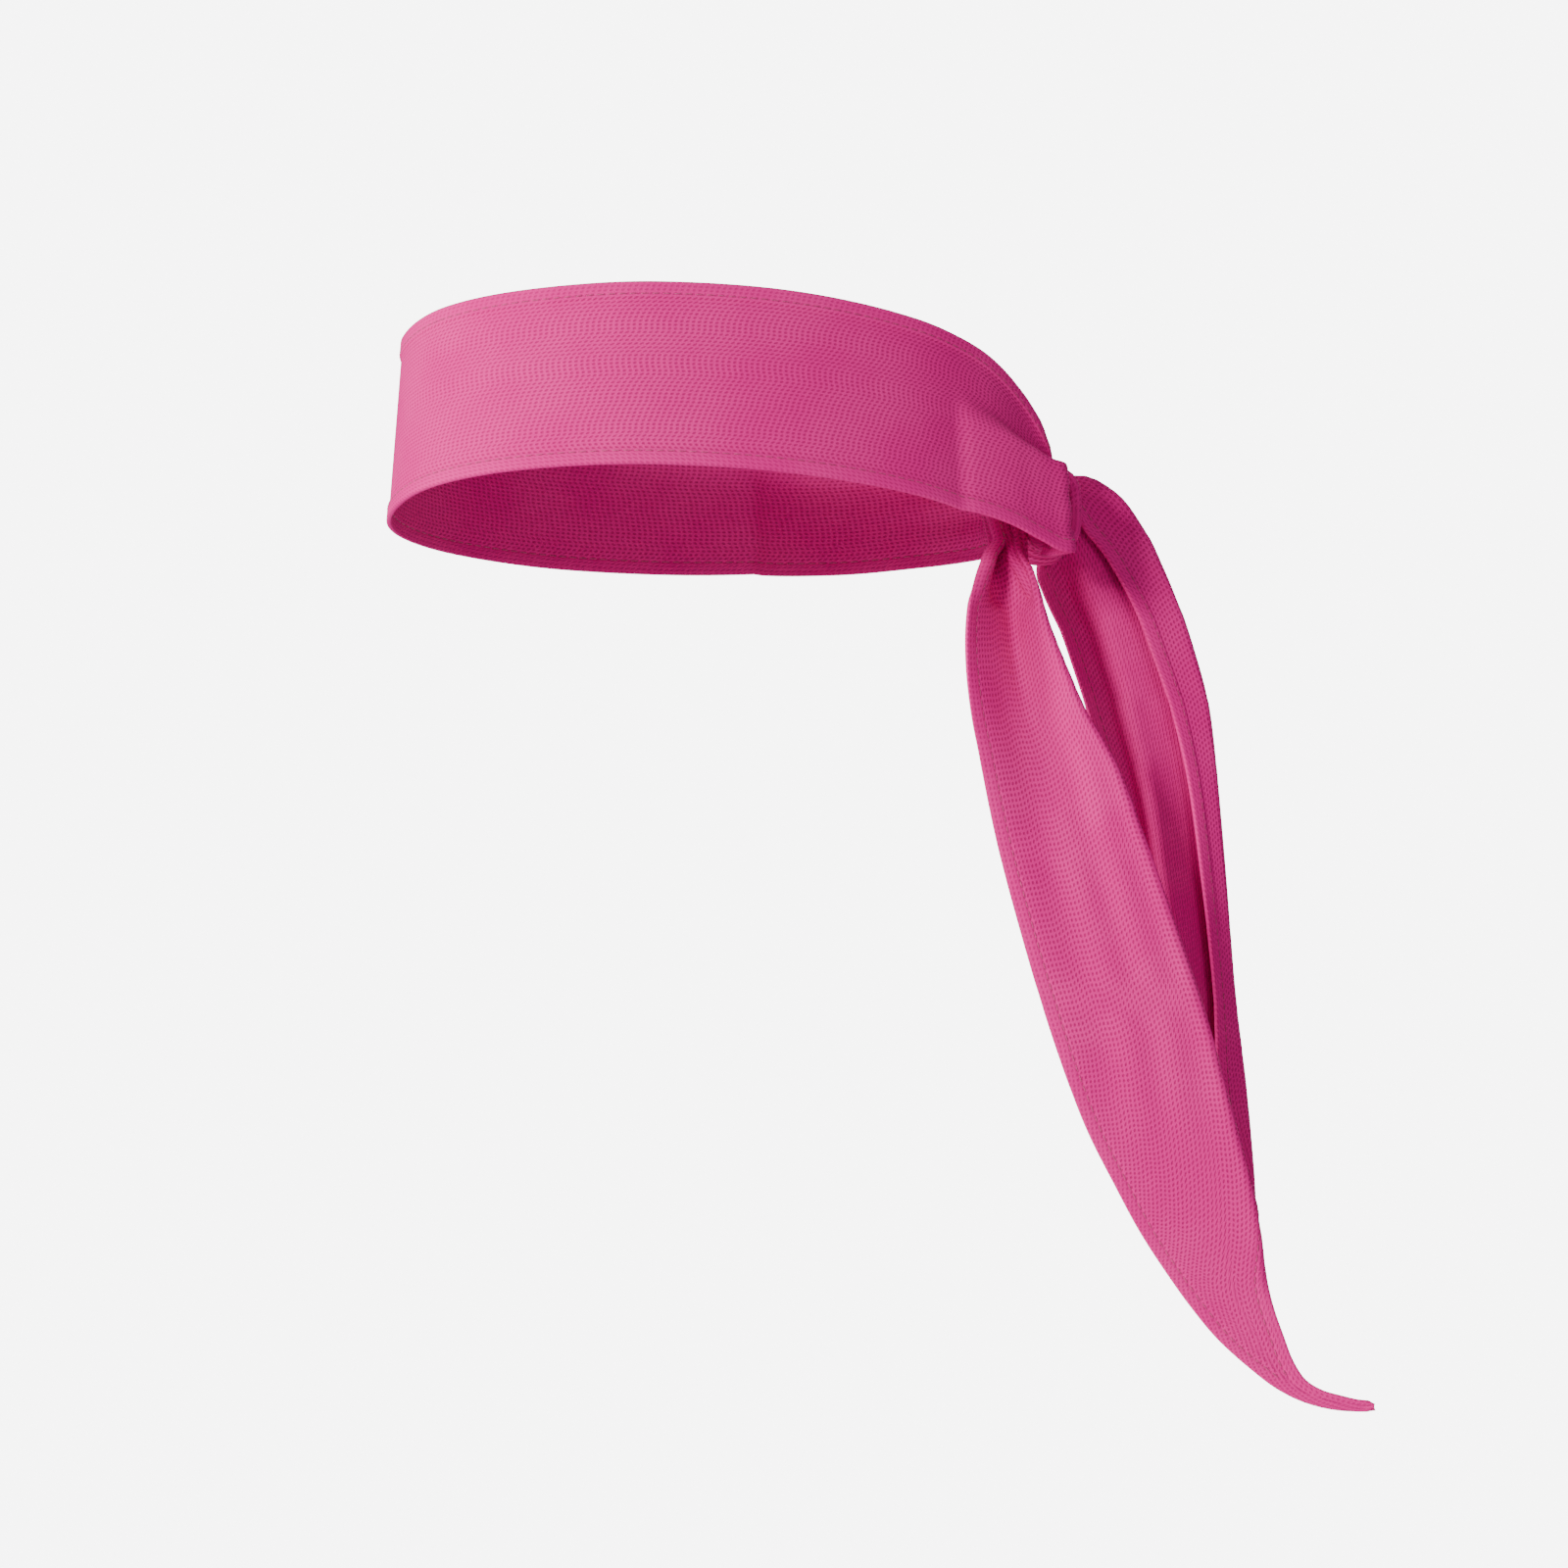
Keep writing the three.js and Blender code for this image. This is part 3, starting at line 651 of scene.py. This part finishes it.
def stitch_object(name, strip, material):
    """Every stitch along both edges of the strip, on both of its faces."""
    lines = ((False, False), (False, True), (True, False), (True, True))
    rings = np.concatenate([stitch_rings(strip, from_end, is_inner) for from_end, is_inner in lines])
    count, levels, sides = rings.shape[:3]
    one = []
    for level in range(levels - 1):
        for k in range(sides):
            a = level * sides + k
            b = level * sides + (k + 1) % sides
            one.append([a, a + sides, b + sides, b])
    # Each end is a hexagon, closed by two quads.
    top = (levels - 1) * sides
    one += [[0, 1, 2, 3], [0, 3, 4, 5]]
    one += [[top + 3, top + 2, top + 1, top], [top + 5, top + 4, top + 3, top]]
    offsets = np.arange(count) * levels * sides
    faces = (np.array(one)[None, :, :] + offsets[:, None, None]).reshape(-1, 4)
    obj = mesh_object(name, rings.reshape(-1, 3), faces)
    obj.data.polygons.foreach_set("use_smooth", np.ones(len(faces), bool))
    obj.data.materials.append(material)
    return obj


def ride_on_band(obj):
    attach(obj, "band")


def bend_between():
    """A function that bakes a piece's place into its mesh, for a section of a tail."""

    def carry(obj):
        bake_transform(obj)

    return carry


def add_cloth(context, name, strip, carry, nodes, thread_nodes):
    """One length of hemmed cloth with its stitches. carry is called on each of them: the loop's ties them
    to the band, a tail's bakes their place.
    """
    cloth = cloth_object(name, strip, cloth_material(context))
    thread = stitch_object(name + "_stitches", strip, thread_material(context))
    carry(cloth)
    carry(thread)
    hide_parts(*nodes)
    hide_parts(*thread_nodes)


# ---- Paths of the strip --------------------------------------------------------------------------


def loop_strip(sizes):
    """The band round the head, from the wearer's left side of the knot to the right."""
    right = tuple((-x, y) for x, y in LOOP_PLAN_LEFT[:1:-1]) + LOOP_PLAN_RIGHT_END
    plan, forward, places = curve_points(LOOP_PLAN_LEFT + (FOREHEAD,) + right, LOOP_STEP)
    total = places[-1]
    half = total / 2
    left_rows = read_rows(LEFT_SIDE_ROWS, np.minimum(places, half))
    right_rows = read_rows(RIGHT_SIDE_ROWS, np.minimum(total - places, half))
    share = smooth((places - half) / SIDES_MEET + 0.5)[:, None]
    rows = left_rows * (1 - share) + right_rows * share
    points = []
    across = []
    cinched = 1 - smooth(np.minimum(places, total - places) / CINCH_LENGTH)
    for (x, y), (tx, ty), (low, high), cinch in zip(plan, forward, rows, cinched):
        outward = np.array([-ty, tx, 0.0])
        lean = SIDE_LEAN + (FOREHEAD_LEAN - SIDE_LEAN) * max(tx * -outward[1], 0.0) ** 2
        upward = UP * math.cos(lean) - outward * math.sin(lean)
        columns = columns_between(-sizes["half_width"], sizes["half_width"])
        w, n = strand_section(columns, high - low, sizes["pleat"])
        shift = n[-1] + (np.interp(MAIN_FACE, columns, n) - n[-1]) * cinch
        base = np.array([x, y, low]) - outward * low * math.tan(lean)
        points.append(base + np.outer(w, upward) + np.outer(n - shift, outward))
        across.append(columns)
    return Strip(np.array(points), np.array(across), sizes)


def tail_strip(sizes, rows, fold_places):
    """A tail, from the knot to its tip. fold_places makes the folds of a row from its turns."""
    flat = np.array([[*front, *rear, *rest] for front, rear, *rest in rows], float)
    middles = np.column_stack([flat[:, 4], (flat[:, 0] + flat[:, 2]) / 2, (flat[:, 1] + flat[:, 3]) / 2])
    chords = np.linalg.norm(np.diff(middles, axis=0), axis=1)
    knots = np.concatenate([[0.0], np.cumsum(chords)])
    count = int(round(knots[-1] / TAIL_STEP))
    places = np.linspace(0.0, knots[-1], count + 1)
    values = read_rows(np.column_stack([knots, flat]), places)
    points = []
    across = []
    for front_back, front_up, rear_back, rear_up, out, *rest in values:
        *turns, fold_at, cut = rest
        front = np.array([0.0, front_back, front_up])
        rear = np.array([0.0, rear_back, rear_up])
        extent = np.linalg.norm(rear - front)
        direction = (rear - front) / extent
        folds = fold_places(turns, fold_at)
        lean = -math.radians(turns[0]) / 2
        whole = -sizes["half_width"]
        cut_to = whole + (cut_place(sizes["half_width"], folds, lean, extent) - whole) * cut
        columns = columns_between(cut_to, sizes["half_width"])
        hanging = smooth((-front_up - GATHERED_TO) / GATHER_FADE)
        give = CLOTH_GIVE + (HANGING_GIVE - CLOTH_GIVE) * hanging
        w, n = gathered_section(columns, folds, lean, extent, TAIL_PLEAT * sizes["pleat"], give)
        shift = np.interp(max(TAIL_LINE, columns[0] + CUT_LINE), columns, n)
        w = w - (w.max() - extent)
        local = front + np.outer(w, direction)
        local[:, 0] = out + n - shift
        points.append(local[:, :1] * OUT + local[:, 1:2] * BACK + local[:, 2:] * UP)
        across.append(columns)
    return Strip(np.array(points), np.array(across), sizes)


def left_folds(turns, fold_at):
    valley, rear = turns
    return [(*LEFT_VALLEY, valley), (fold_at, LEFT_FOLD_WIDTH, rear)]


def right_folds(turns, fold_at):
    valley, ridge, rear = turns
    return [(*RIGHT_VALLEY, valley), (*RIGHT_RIDGE, ridge), (fold_at, RIGHT_FOLD_WIDTH, rear)]


def wrap_strip(sizes):
    """The gathered turn of cloth that holds the knot, closed on itself round the strands."""
    halves = np.array([KNOT_HALF_DEPTH, KNOT_HALF_HEIGHT])
    columns = columns_between(-sizes["half_width"], sizes["half_width"])
    w, n = gathered_section(columns, [], 0.0, 2 * KNOT_HALF_LENGTH, sizes["pleat"])
    middle = (n.max() + n.min()) / 2
    sideways = np.array([1.0, 0.0, 0.0])
    points = []
    for i in range(KNOT_STATIONS):
        angle = 2 * math.pi * i / KNOT_STATIONS
        direction = np.array([math.cos(angle), math.sin(angle)])
        place = direction / np.sum(np.abs(direction / halves) ** KNOT_SQUARENESS) ** (1 / KNOT_SQUARENESS)
        slope = np.sign(place) * np.abs(place / halves) ** (KNOT_SQUARENESS - 1) / halves
        outward = np.array([0.0, *(slope / np.linalg.norm(slope))])
        centre = KNOT + np.array([0.0, *place])
        points.append(centre + np.outer(w - KNOT_HALF_LENGTH, sideways) + np.outer(n - middle, outward))
    across = np.tile(columns, (KNOT_STATIONS, 1))
    return Strip(np.array(points), across, sizes, closed=True)


# ---- Materials -----------------------------------------------------------------------------------

# The holes of the knit, as shares of their spacing: each row's shift, and a hole's slant and half size.
HOLE_STAGGER = 0.37
HOLE_SLANT = 0.4
HOLE_LENGTH = 0.36
HOLE_HEIGHT = 0.27


class Graph:
    """Adds and joins shader nodes in one line each."""

    def __init__(self, name):
        self.material = bpy.data.materials.new(name)
        self.material.use_nodes = True
        self.tree = self.material.node_tree
        self.shader = self.tree.nodes["Principled BSDF"]

    def node(self, kind, inputs=(), **settings):
        made = self.tree.nodes.new(kind)
        for key, value in settings.items():
            setattr(made, key, value)
        for key, value in dict(inputs).items():
            self.set(made.inputs[key], value)
        return made

    def set(self, socket, value):
        if isinstance(value, bpy.types.NodeSocket):
            self.tree.links.new(value, socket)
        else:
            socket.default_value = value

    def math(self, operation, first, second=0.0):
        return self.node("ShaderNodeMath", {0: first, 1: second}, operation=operation).outputs[0]

    def ramp(self, value, low, high, to_low=0.0, to_high=1.0):
        inputs = {0: value, 1: low, 2: high, 3: to_low, 4: to_high}
        made = self.node("ShaderNodeMapRange", inputs, interpolation_type="SMOOTHSTEP")
        return made.outputs[0]

    def noise(self, vector, scale, detail=2.0):
        inputs = {"Vector": vector, "Scale": scale, "Detail": detail}
        return self.node("ShaderNodeTexNoise", inputs).outputs["Fac"]

    def mix(self, factor, first, second):
        made = self.node("ShaderNodeMix", {0: factor, 6: first, 7: second}, data_type="RGBA")
        return made.outputs[2]


def object_vector(graph):
    return graph.node("ShaderNodeTexCoord").outputs["Object"]


def mesh_holes(graph, cloth):
    """How deep in a hole of the knit a point is, from 0 on the yarn to 1 in the hole."""
    lengths = graph.node("ShaderNodeUVMap", uv_map="ClothLength").outputs["UV"]
    split = graph.node("ShaderNodeSeparateXYZ", {0: lengths})
    along = graph.math("DIVIDE", split.outputs[0], cloth.hole_spacing)
    rows = graph.math("DIVIDE", split.outputs[1], cloth.row_spacing)
    row = graph.math("FLOOR", rows)
    stagger = graph.math("MULTIPLY", row, HOLE_STAGGER)
    y = graph.math("SUBTRACT", graph.math("SUBTRACT", rows, row), 0.5)
    x = graph.math("SUBTRACT", graph.math("FRACT", graph.math("ADD", along, stagger)), 0.5)
    slanted = graph.math("ADD", y, graph.math("MULTIPLY", x, HOLE_SLANT))
    wide = graph.math("POWER", graph.math("ABSOLUTE", graph.math("DIVIDE", x, HOLE_LENGTH)), 2.0)
    tall = graph.math("POWER", graph.math("ABSOLUTE", graph.math("DIVIDE", slanted, HOLE_HEIGHT)), 2.0)
    return graph.ramp(graph.math("ADD", wide, tall), 1.6, 0.1)


def cloth_material(context):
    """Mesh knit: staggered holes with painted shade down in them, fuzzy yarn, and closer cloth where the
    edge is turned in.
    """
    made = bpy.data.materials.get("MeshCloth")
    if made:
        return made
    cloth = context.scene.headband_cloth
    graph = Graph("MeshCloth")
    vector = object_vector(graph)
    holes = mesh_holes(graph, cloth)
    edge = graph.node("ShaderNodeAttribute", attribute_name="edge_mm").outputs["Fac"]
    open_knit = graph.ramp(edge, 3.9, 5.6, 0.7, 1.0)
    depth = graph.math("MULTIPLY", holes, open_knit)
    patches = graph.ramp(graph.noise(vector, 38.0, 3.0), 0.3, 0.7)
    fuzz = graph.noise(vector, 2600.0, 3.0)
    yarn = (*cloth.colour, 1.0)
    worn = tuple(min(1.0, c * 1.06 + 0.01) for c in cloth.colour) + (1.0,)
    surface = graph.mix(patches, yarn, worn)
    fibres = graph.mix(graph.ramp(fuzz, 0.3, 0.7, 0.0, 0.16), surface, (*cloth.hole_shade_colour, 1.0))
    # Painted shade: the deeper in a hole, the more the colour turns to the darker hole colour, standing
    # for the shade that falls there; the bump from the same depth is real.
    colour = graph.mix(graph.math("MULTIPLY", depth, 0.62), fibres, (*cloth.hole_shade_colour, 1.0))
    height = graph.math("SUBTRACT", graph.math("MULTIPLY", fuzz, 0.25), depth)
    bump = graph.node("ShaderNodeBump", {"Strength": 0.55, "Distance": 0.0003, "Height": height})
    graph.set(graph.shader.inputs["Base Color"], colour)
    graph.set(graph.shader.inputs["Roughness"], graph.ramp(fuzz, 0.2, 0.8, 0.78, 0.94))
    graph.set(graph.shader.inputs["Normal"], bump.outputs["Normal"])
    graph.set(graph.shader.inputs["Specular IOR Level"], 0.06)
    graph.set(graph.shader.inputs["Sheen Weight"], 0.03)
    graph.set(graph.shader.inputs["Sheen Roughness"], 0.45)
    graph.set(graph.shader.inputs["Sheen Tint"], (1.0, 0.62, 0.82, 1.0))
    return graph.material


def thread_material(context):
    """Twisted sewing thread."""
    made = bpy.data.materials.get("SewingThread")
    if made:
        return made
    graph = Graph("SewingThread")
    vector = object_vector(graph)
    twist = graph.noise(vector, 3200.0, 1.0)
    base = (*context.scene.headband_stitching.colour, 1.0)
    dark = tuple(0.55 * c for c in context.scene.headband_stitching.colour) + (1.0,)
    colour = graph.mix(graph.ramp(twist, 0.35, 0.65), base, dark)
    bump = graph.node("ShaderNodeBump", {"Strength": 0.5, "Distance": 0.0001, "Height": twist})
    graph.set(graph.shader.inputs["Base Color"], colour)
    graph.set(graph.shader.inputs["Roughness"], graph.ramp(twist, 0.2, 0.8, 0.55, 0.75))
    graph.set(graph.shader.inputs["Normal"], bump.outputs["Normal"])
    graph.set(graph.shader.inputs["Sheen Weight"], 0.15)
    return graph.material


def floor_material(context):
    """Pale matt paper with the faintest unevenness."""
    graph = Graph("StageFloor")
    grain = graph.noise(object_vector(graph), 3.0)
    base = (*context.scene.headband_stage.floor_colour, 1.0)
    shade = tuple(0.97 * c for c in context.scene.headband_stage.floor_colour) + (1.0,)
    graph.set(graph.shader.inputs["Base Color"], graph.mix(grain, base, shade))
    graph.set(graph.shader.inputs["Roughness"], graph.ramp(grain, 0.2, 0.8, 0.88, 0.95))
    return graph.material


# ---- Operators -----------------------------------------------------------------------------------


class HEADBAND_OT_loop(bpy.types.Operator):
    """Makes the band round the head, with its hems and stitches"""

    bl_idname = "headband.loop"
    bl_label = "Make Loop"

    def execute(self, context):
        strip = loop_strip(cloth_sizes(context))
        nodes = [
            "forehead_panel",
            "left_side_panel",
            "right_side_panel",
            "left_rear_strand",
            "right_rear_strand",
            "upper_hem",
            "lower_hem",
        ]
        threads = ["upper_hem_thread", "lower_hem_thread"]
        add_cloth(context, "loop_cloth", strip, ride_on_band, nodes, threads)
        return {"FINISHED"}


class HEADBAND_OT_knot(bpy.types.Operator):
    """Makes the gathered turn of cloth that holds the knot"""

    bl_idname = "headband.knot"
    bl_label = "Make Knot"

    def execute(self, context):
        strip = wrap_strip(cloth_sizes(context))
        wrap = cloth_object("knot_cloth", strip, cloth_material(context))
        ride_on_band(wrap)
        inside = ("left_strand_in_knot", "right_strand_in_knot", "right_tail_in_knot")
        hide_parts("knot_wrap", *inside)
        return {"FINISHED"}


# The nodes that a tail's end sections stand for besides their own.
LEFT_TAIL_EXTRAS = {"throat": ["left_tail_root"], "lower": ["left_tail_tip"]}
RIGHT_TAIL_EXTRAS = {"lower": ["right_tail_tip"]}


def section_nodes(side, part):
    """The nodes of one section of a tail, and those of its threads. The throat has no hems of its own."""
    if part == "throat":
        return [f"{side}_tail_throat"], []
    edges = ("front", "rear")
    cloth = [f"{side}_tail_{part}"] + [f"{side}_tail_{part}_{edge}_hem" for edge in edges]
    return cloth, [f"{side}_tail_{part}_{edge}_hem_thread" for edge in edges]


def nearest_station(strip, height):
    """The station where the front edge of the strip passes a height."""
    return int(np.argmin(np.abs(strip.points[:, 0, 2] - height)))


def add_tail(context, side, strip, sections, extras):
    """A tail as its three sections, each made as its own cloth with its stitches."""
    start = 0
    for part, lower_end, body_above, bend_from, bend_to, flat, area, held in sections:
        end = len(strip.points) - 1 if lower_end is None else nearest_station(strip, lower_end)
        nodes, threads = section_nodes(side, part)
        nodes = nodes + extras.get(part, [])
        name = f"{side}_tail_{part}_cloth"
        carry = bend_between()
        add_cloth(context, name, strip.part(start, end), carry, nodes, threads)
        start = end


class HEADBAND_OT_left_tail(bpy.types.Operator):
    """Makes the tail on the wearer's left, which hangs from under the band"""

    bl_idname = "headband.left_tail"
    bl_label = "Make Left Tail"

    def execute(self, context):
        strip = tail_strip(cloth_sizes(context), LEFT_TAIL_ROWS, left_folds)
        add_tail(context, "left", strip, LEFT_TAIL_SECTIONS, LEFT_TAIL_EXTRAS)
        return {"FINISHED"}


class HEADBAND_OT_right_tail(bpy.types.Operator):
    """Makes the tail on the wearer's right, which leaves the knot at the back"""

    bl_idname = "headband.right_tail"
    bl_label = "Make Right Tail"

    def execute(self, context):
        strip = tail_strip(cloth_sizes(context), RIGHT_TAIL_ROWS, right_folds)
        add_tail(context, "right", strip, RIGHT_TAIL_SECTIONS, RIGHT_TAIL_EXTRAS)
        return {"FINISHED"}


# The picture's middle, to the right of the origin and below it as the camera sees it.
AIM_RIGHT = 17.4
AIM_DOWN = 108.0
FLOOR_REACH = 6.0
# Each light: metres to the camera's right, towards it and up, its size, its power and its colour.
LIGHTS = (
    ("key", -1.25, 2.15, 0.25, 0.6, 72.0, (1.0, 0.98, 0.97)),
    ("side", -2.4, 0.55, 0.25, 0.8, 80.0, (1.0, 0.98, 0.97)),
    ("fill", 1.5, 1.9, 0.2, 0.8, 12.0, (0.98, 0.98, 1.0)),
    ("top", 0.0, 0.2, 2.0, 1.6, 10.0, (1.0, 1.0, 1.0)),
    ("back", 0.4, -2.1, 0.5, 1.2, 50.0, (1.0, 1.0, 1.0)),
)


def add_area_light(name, place, aim, size, power, colour):
    light = bpy.data.lights.new(name, "AREA")
    light.shape = "DISK"
    light.size = size
    light.energy = power
    light.color = colour
    obj = bpy.data.objects.new(name, light)
    bpy.context.scene.collection.objects.link(obj)
    obj.location = place
    obj.rotation_euler = (vector_of(aim) - vector_of(place)).to_track_quat("-Z", "Y").to_euler()


def add_floor(context, stage):
    corners = np.array([(-1, -1, 0), (1, -1, 0), (1, 1, 0), (-1, 1, 0)]) * FLOOR_REACH / MM
    floor = mesh_object("floor", corners, np.array([[0, 1, 2, 3]]))
    floor.location.z = stage.floor_height
    floor.data.materials.append(floor_material(context))


def add_surround(context, stage):
    """A world that is bright behind the object but lights it only faintly."""
    world = bpy.data.worlds.new("StageWorld")
    context.scene.world = world
    world.use_nodes = True
    light_path = world.node_tree.nodes.new("ShaderNodeLightPath")
    strength = world.node_tree.nodes.new("ShaderNodeMapRange")
    strength.inputs["To Min"].default_value = stage.surround_light
    strength.inputs["To Max"].default_value = stage.backdrop_light
    background = world.node_tree.nodes["Background"]
    background.inputs["Color"].default_value = (1.0, 1.0, 1.0, 1.0)
    world.node_tree.links.new(light_path.outputs["Is Camera Ray"], strength.inputs["Value"])
    world.node_tree.links.new(strength.outputs["Result"], background.inputs["Strength"])


def add_camera(context, stage, aim, towards):
    camera = bpy.data.objects.new("camera", bpy.data.cameras.new("camera"))
    context.scene.collection.objects.link(camera)
    camera.data.sensor_width = 36.0
    camera.data.lens = camera.data.sensor_width * stage.distance / stage.frame_width
    camera.data.clip_end = 60.0
    camera.location = aim + towards * stage.distance
    camera.rotation_euler = (-vector_of(towards)).to_track_quat("-Z", "Y").to_euler()
    context.scene.camera = camera


class HEADBAND_OT_stage(bpy.types.Operator):
    """Makes the floor, the lights and the camera"""

    bl_idname = "headband.stage"
    bl_label = "Make Stage"

    def execute(self, context):
        stage = context.scene.headband_stage
        add_floor(context, stage)
        add_surround(context, stage)
        facing = np.array([math.sin(stage.azimuth), -math.cos(stage.azimuth), 0.0])
        right = np.array([math.cos(stage.azimuth), math.sin(stage.azimuth), 0.0])
        towards = facing * math.cos(stage.elevation) + UP * math.sin(stage.elevation)
        above = UP * math.cos(stage.elevation) - facing * math.sin(stage.elevation)
        aim = (right * AIM_RIGHT - above * AIM_DOWN) * MM
        for name, sideways, forwards, height, size, power, colour in LIGHTS:
            place = right * sideways + facing * forwards + UP * height
            add_area_light(name, place, aim, size, power, colour)
        add_camera(context, stage, aim, towards)
        return {"FINISHED"}


class HEADBAND_PT_panel(bpy.types.Panel):
    """Lists the headband's settings and steps"""

    bl_label = "Tie Headband"
    bl_idname = "HEADBAND_PT_panel"
    bl_space_type = "VIEW_3D"
    bl_region_type = "UI"
    bl_category = "Headband"

    def draw(self, context):
        for group in (
            context.scene.headband_cloth,
            context.scene.headband_stitching,
            context.scene.headband_stage,
        ):
            box = self.layout.box()
            for name in group.__annotations__:
                box.prop(group, name)
        for operator in OPERATORS:
            self.layout.operator(operator.bl_idname)


OPERATORS = (
    HEADBAND_OT_loop,
    HEADBAND_OT_knot,
    HEADBAND_OT_left_tail,
    HEADBAND_OT_right_tail,
    HEADBAND_OT_stage,
)
CLASSES = (HeadbandCloth, HeadbandStitching, HeadbandStage, *OPERATORS, HEADBAND_PT_panel)


def register():
    for cls in CLASSES:
        bpy.utils.register_class(cls)
    bpy.types.Scene.headband_cloth = bpy.props.PointerProperty(type=HeadbandCloth)
    bpy.types.Scene.headband_stitching = bpy.props.PointerProperty(type=HeadbandStitching)
    bpy.types.Scene.headband_stage = bpy.props.PointerProperty(type=HeadbandStage)


def unregister():
    del bpy.types.Scene.headband_stage
    del bpy.types.Scene.headband_stitching
    del bpy.types.Scene.headband_cloth
    for cls in reversed(CLASSES):
        bpy.utils.unregister_class(cls)


def box_of(objects):
    """Lowest and highest corners of several objects, as plain lists."""
    bpy.context.view_layer.update()
    corners = [tuple(obj.matrix_world @ vector_of(c)) for obj in objects for c in obj.bound_box]
    corners = np.array(corners)
    return [corners.min(axis=0).tolist(), corners.max(axis=0).tolist()]


def main():
    cad = box_of(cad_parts.values())
    register()
    bpy.ops.headband.loop()
    bpy.ops.headband.knot()
    bpy.ops.headband.left_tail()
    bpy.ops.headband.right_tail()
    bpy.ops.headband.stage()
    visual = [
        obj
        for obj in bpy.context.scene.objects
        if obj.type == "MESH" and (obj.name.endswith("_cloth") or obj.name.endswith("_stitches"))
    ]
    {"cad_m": cad, "visual_m": box_of(visual)}


if __name__ == "__main__":
    main()
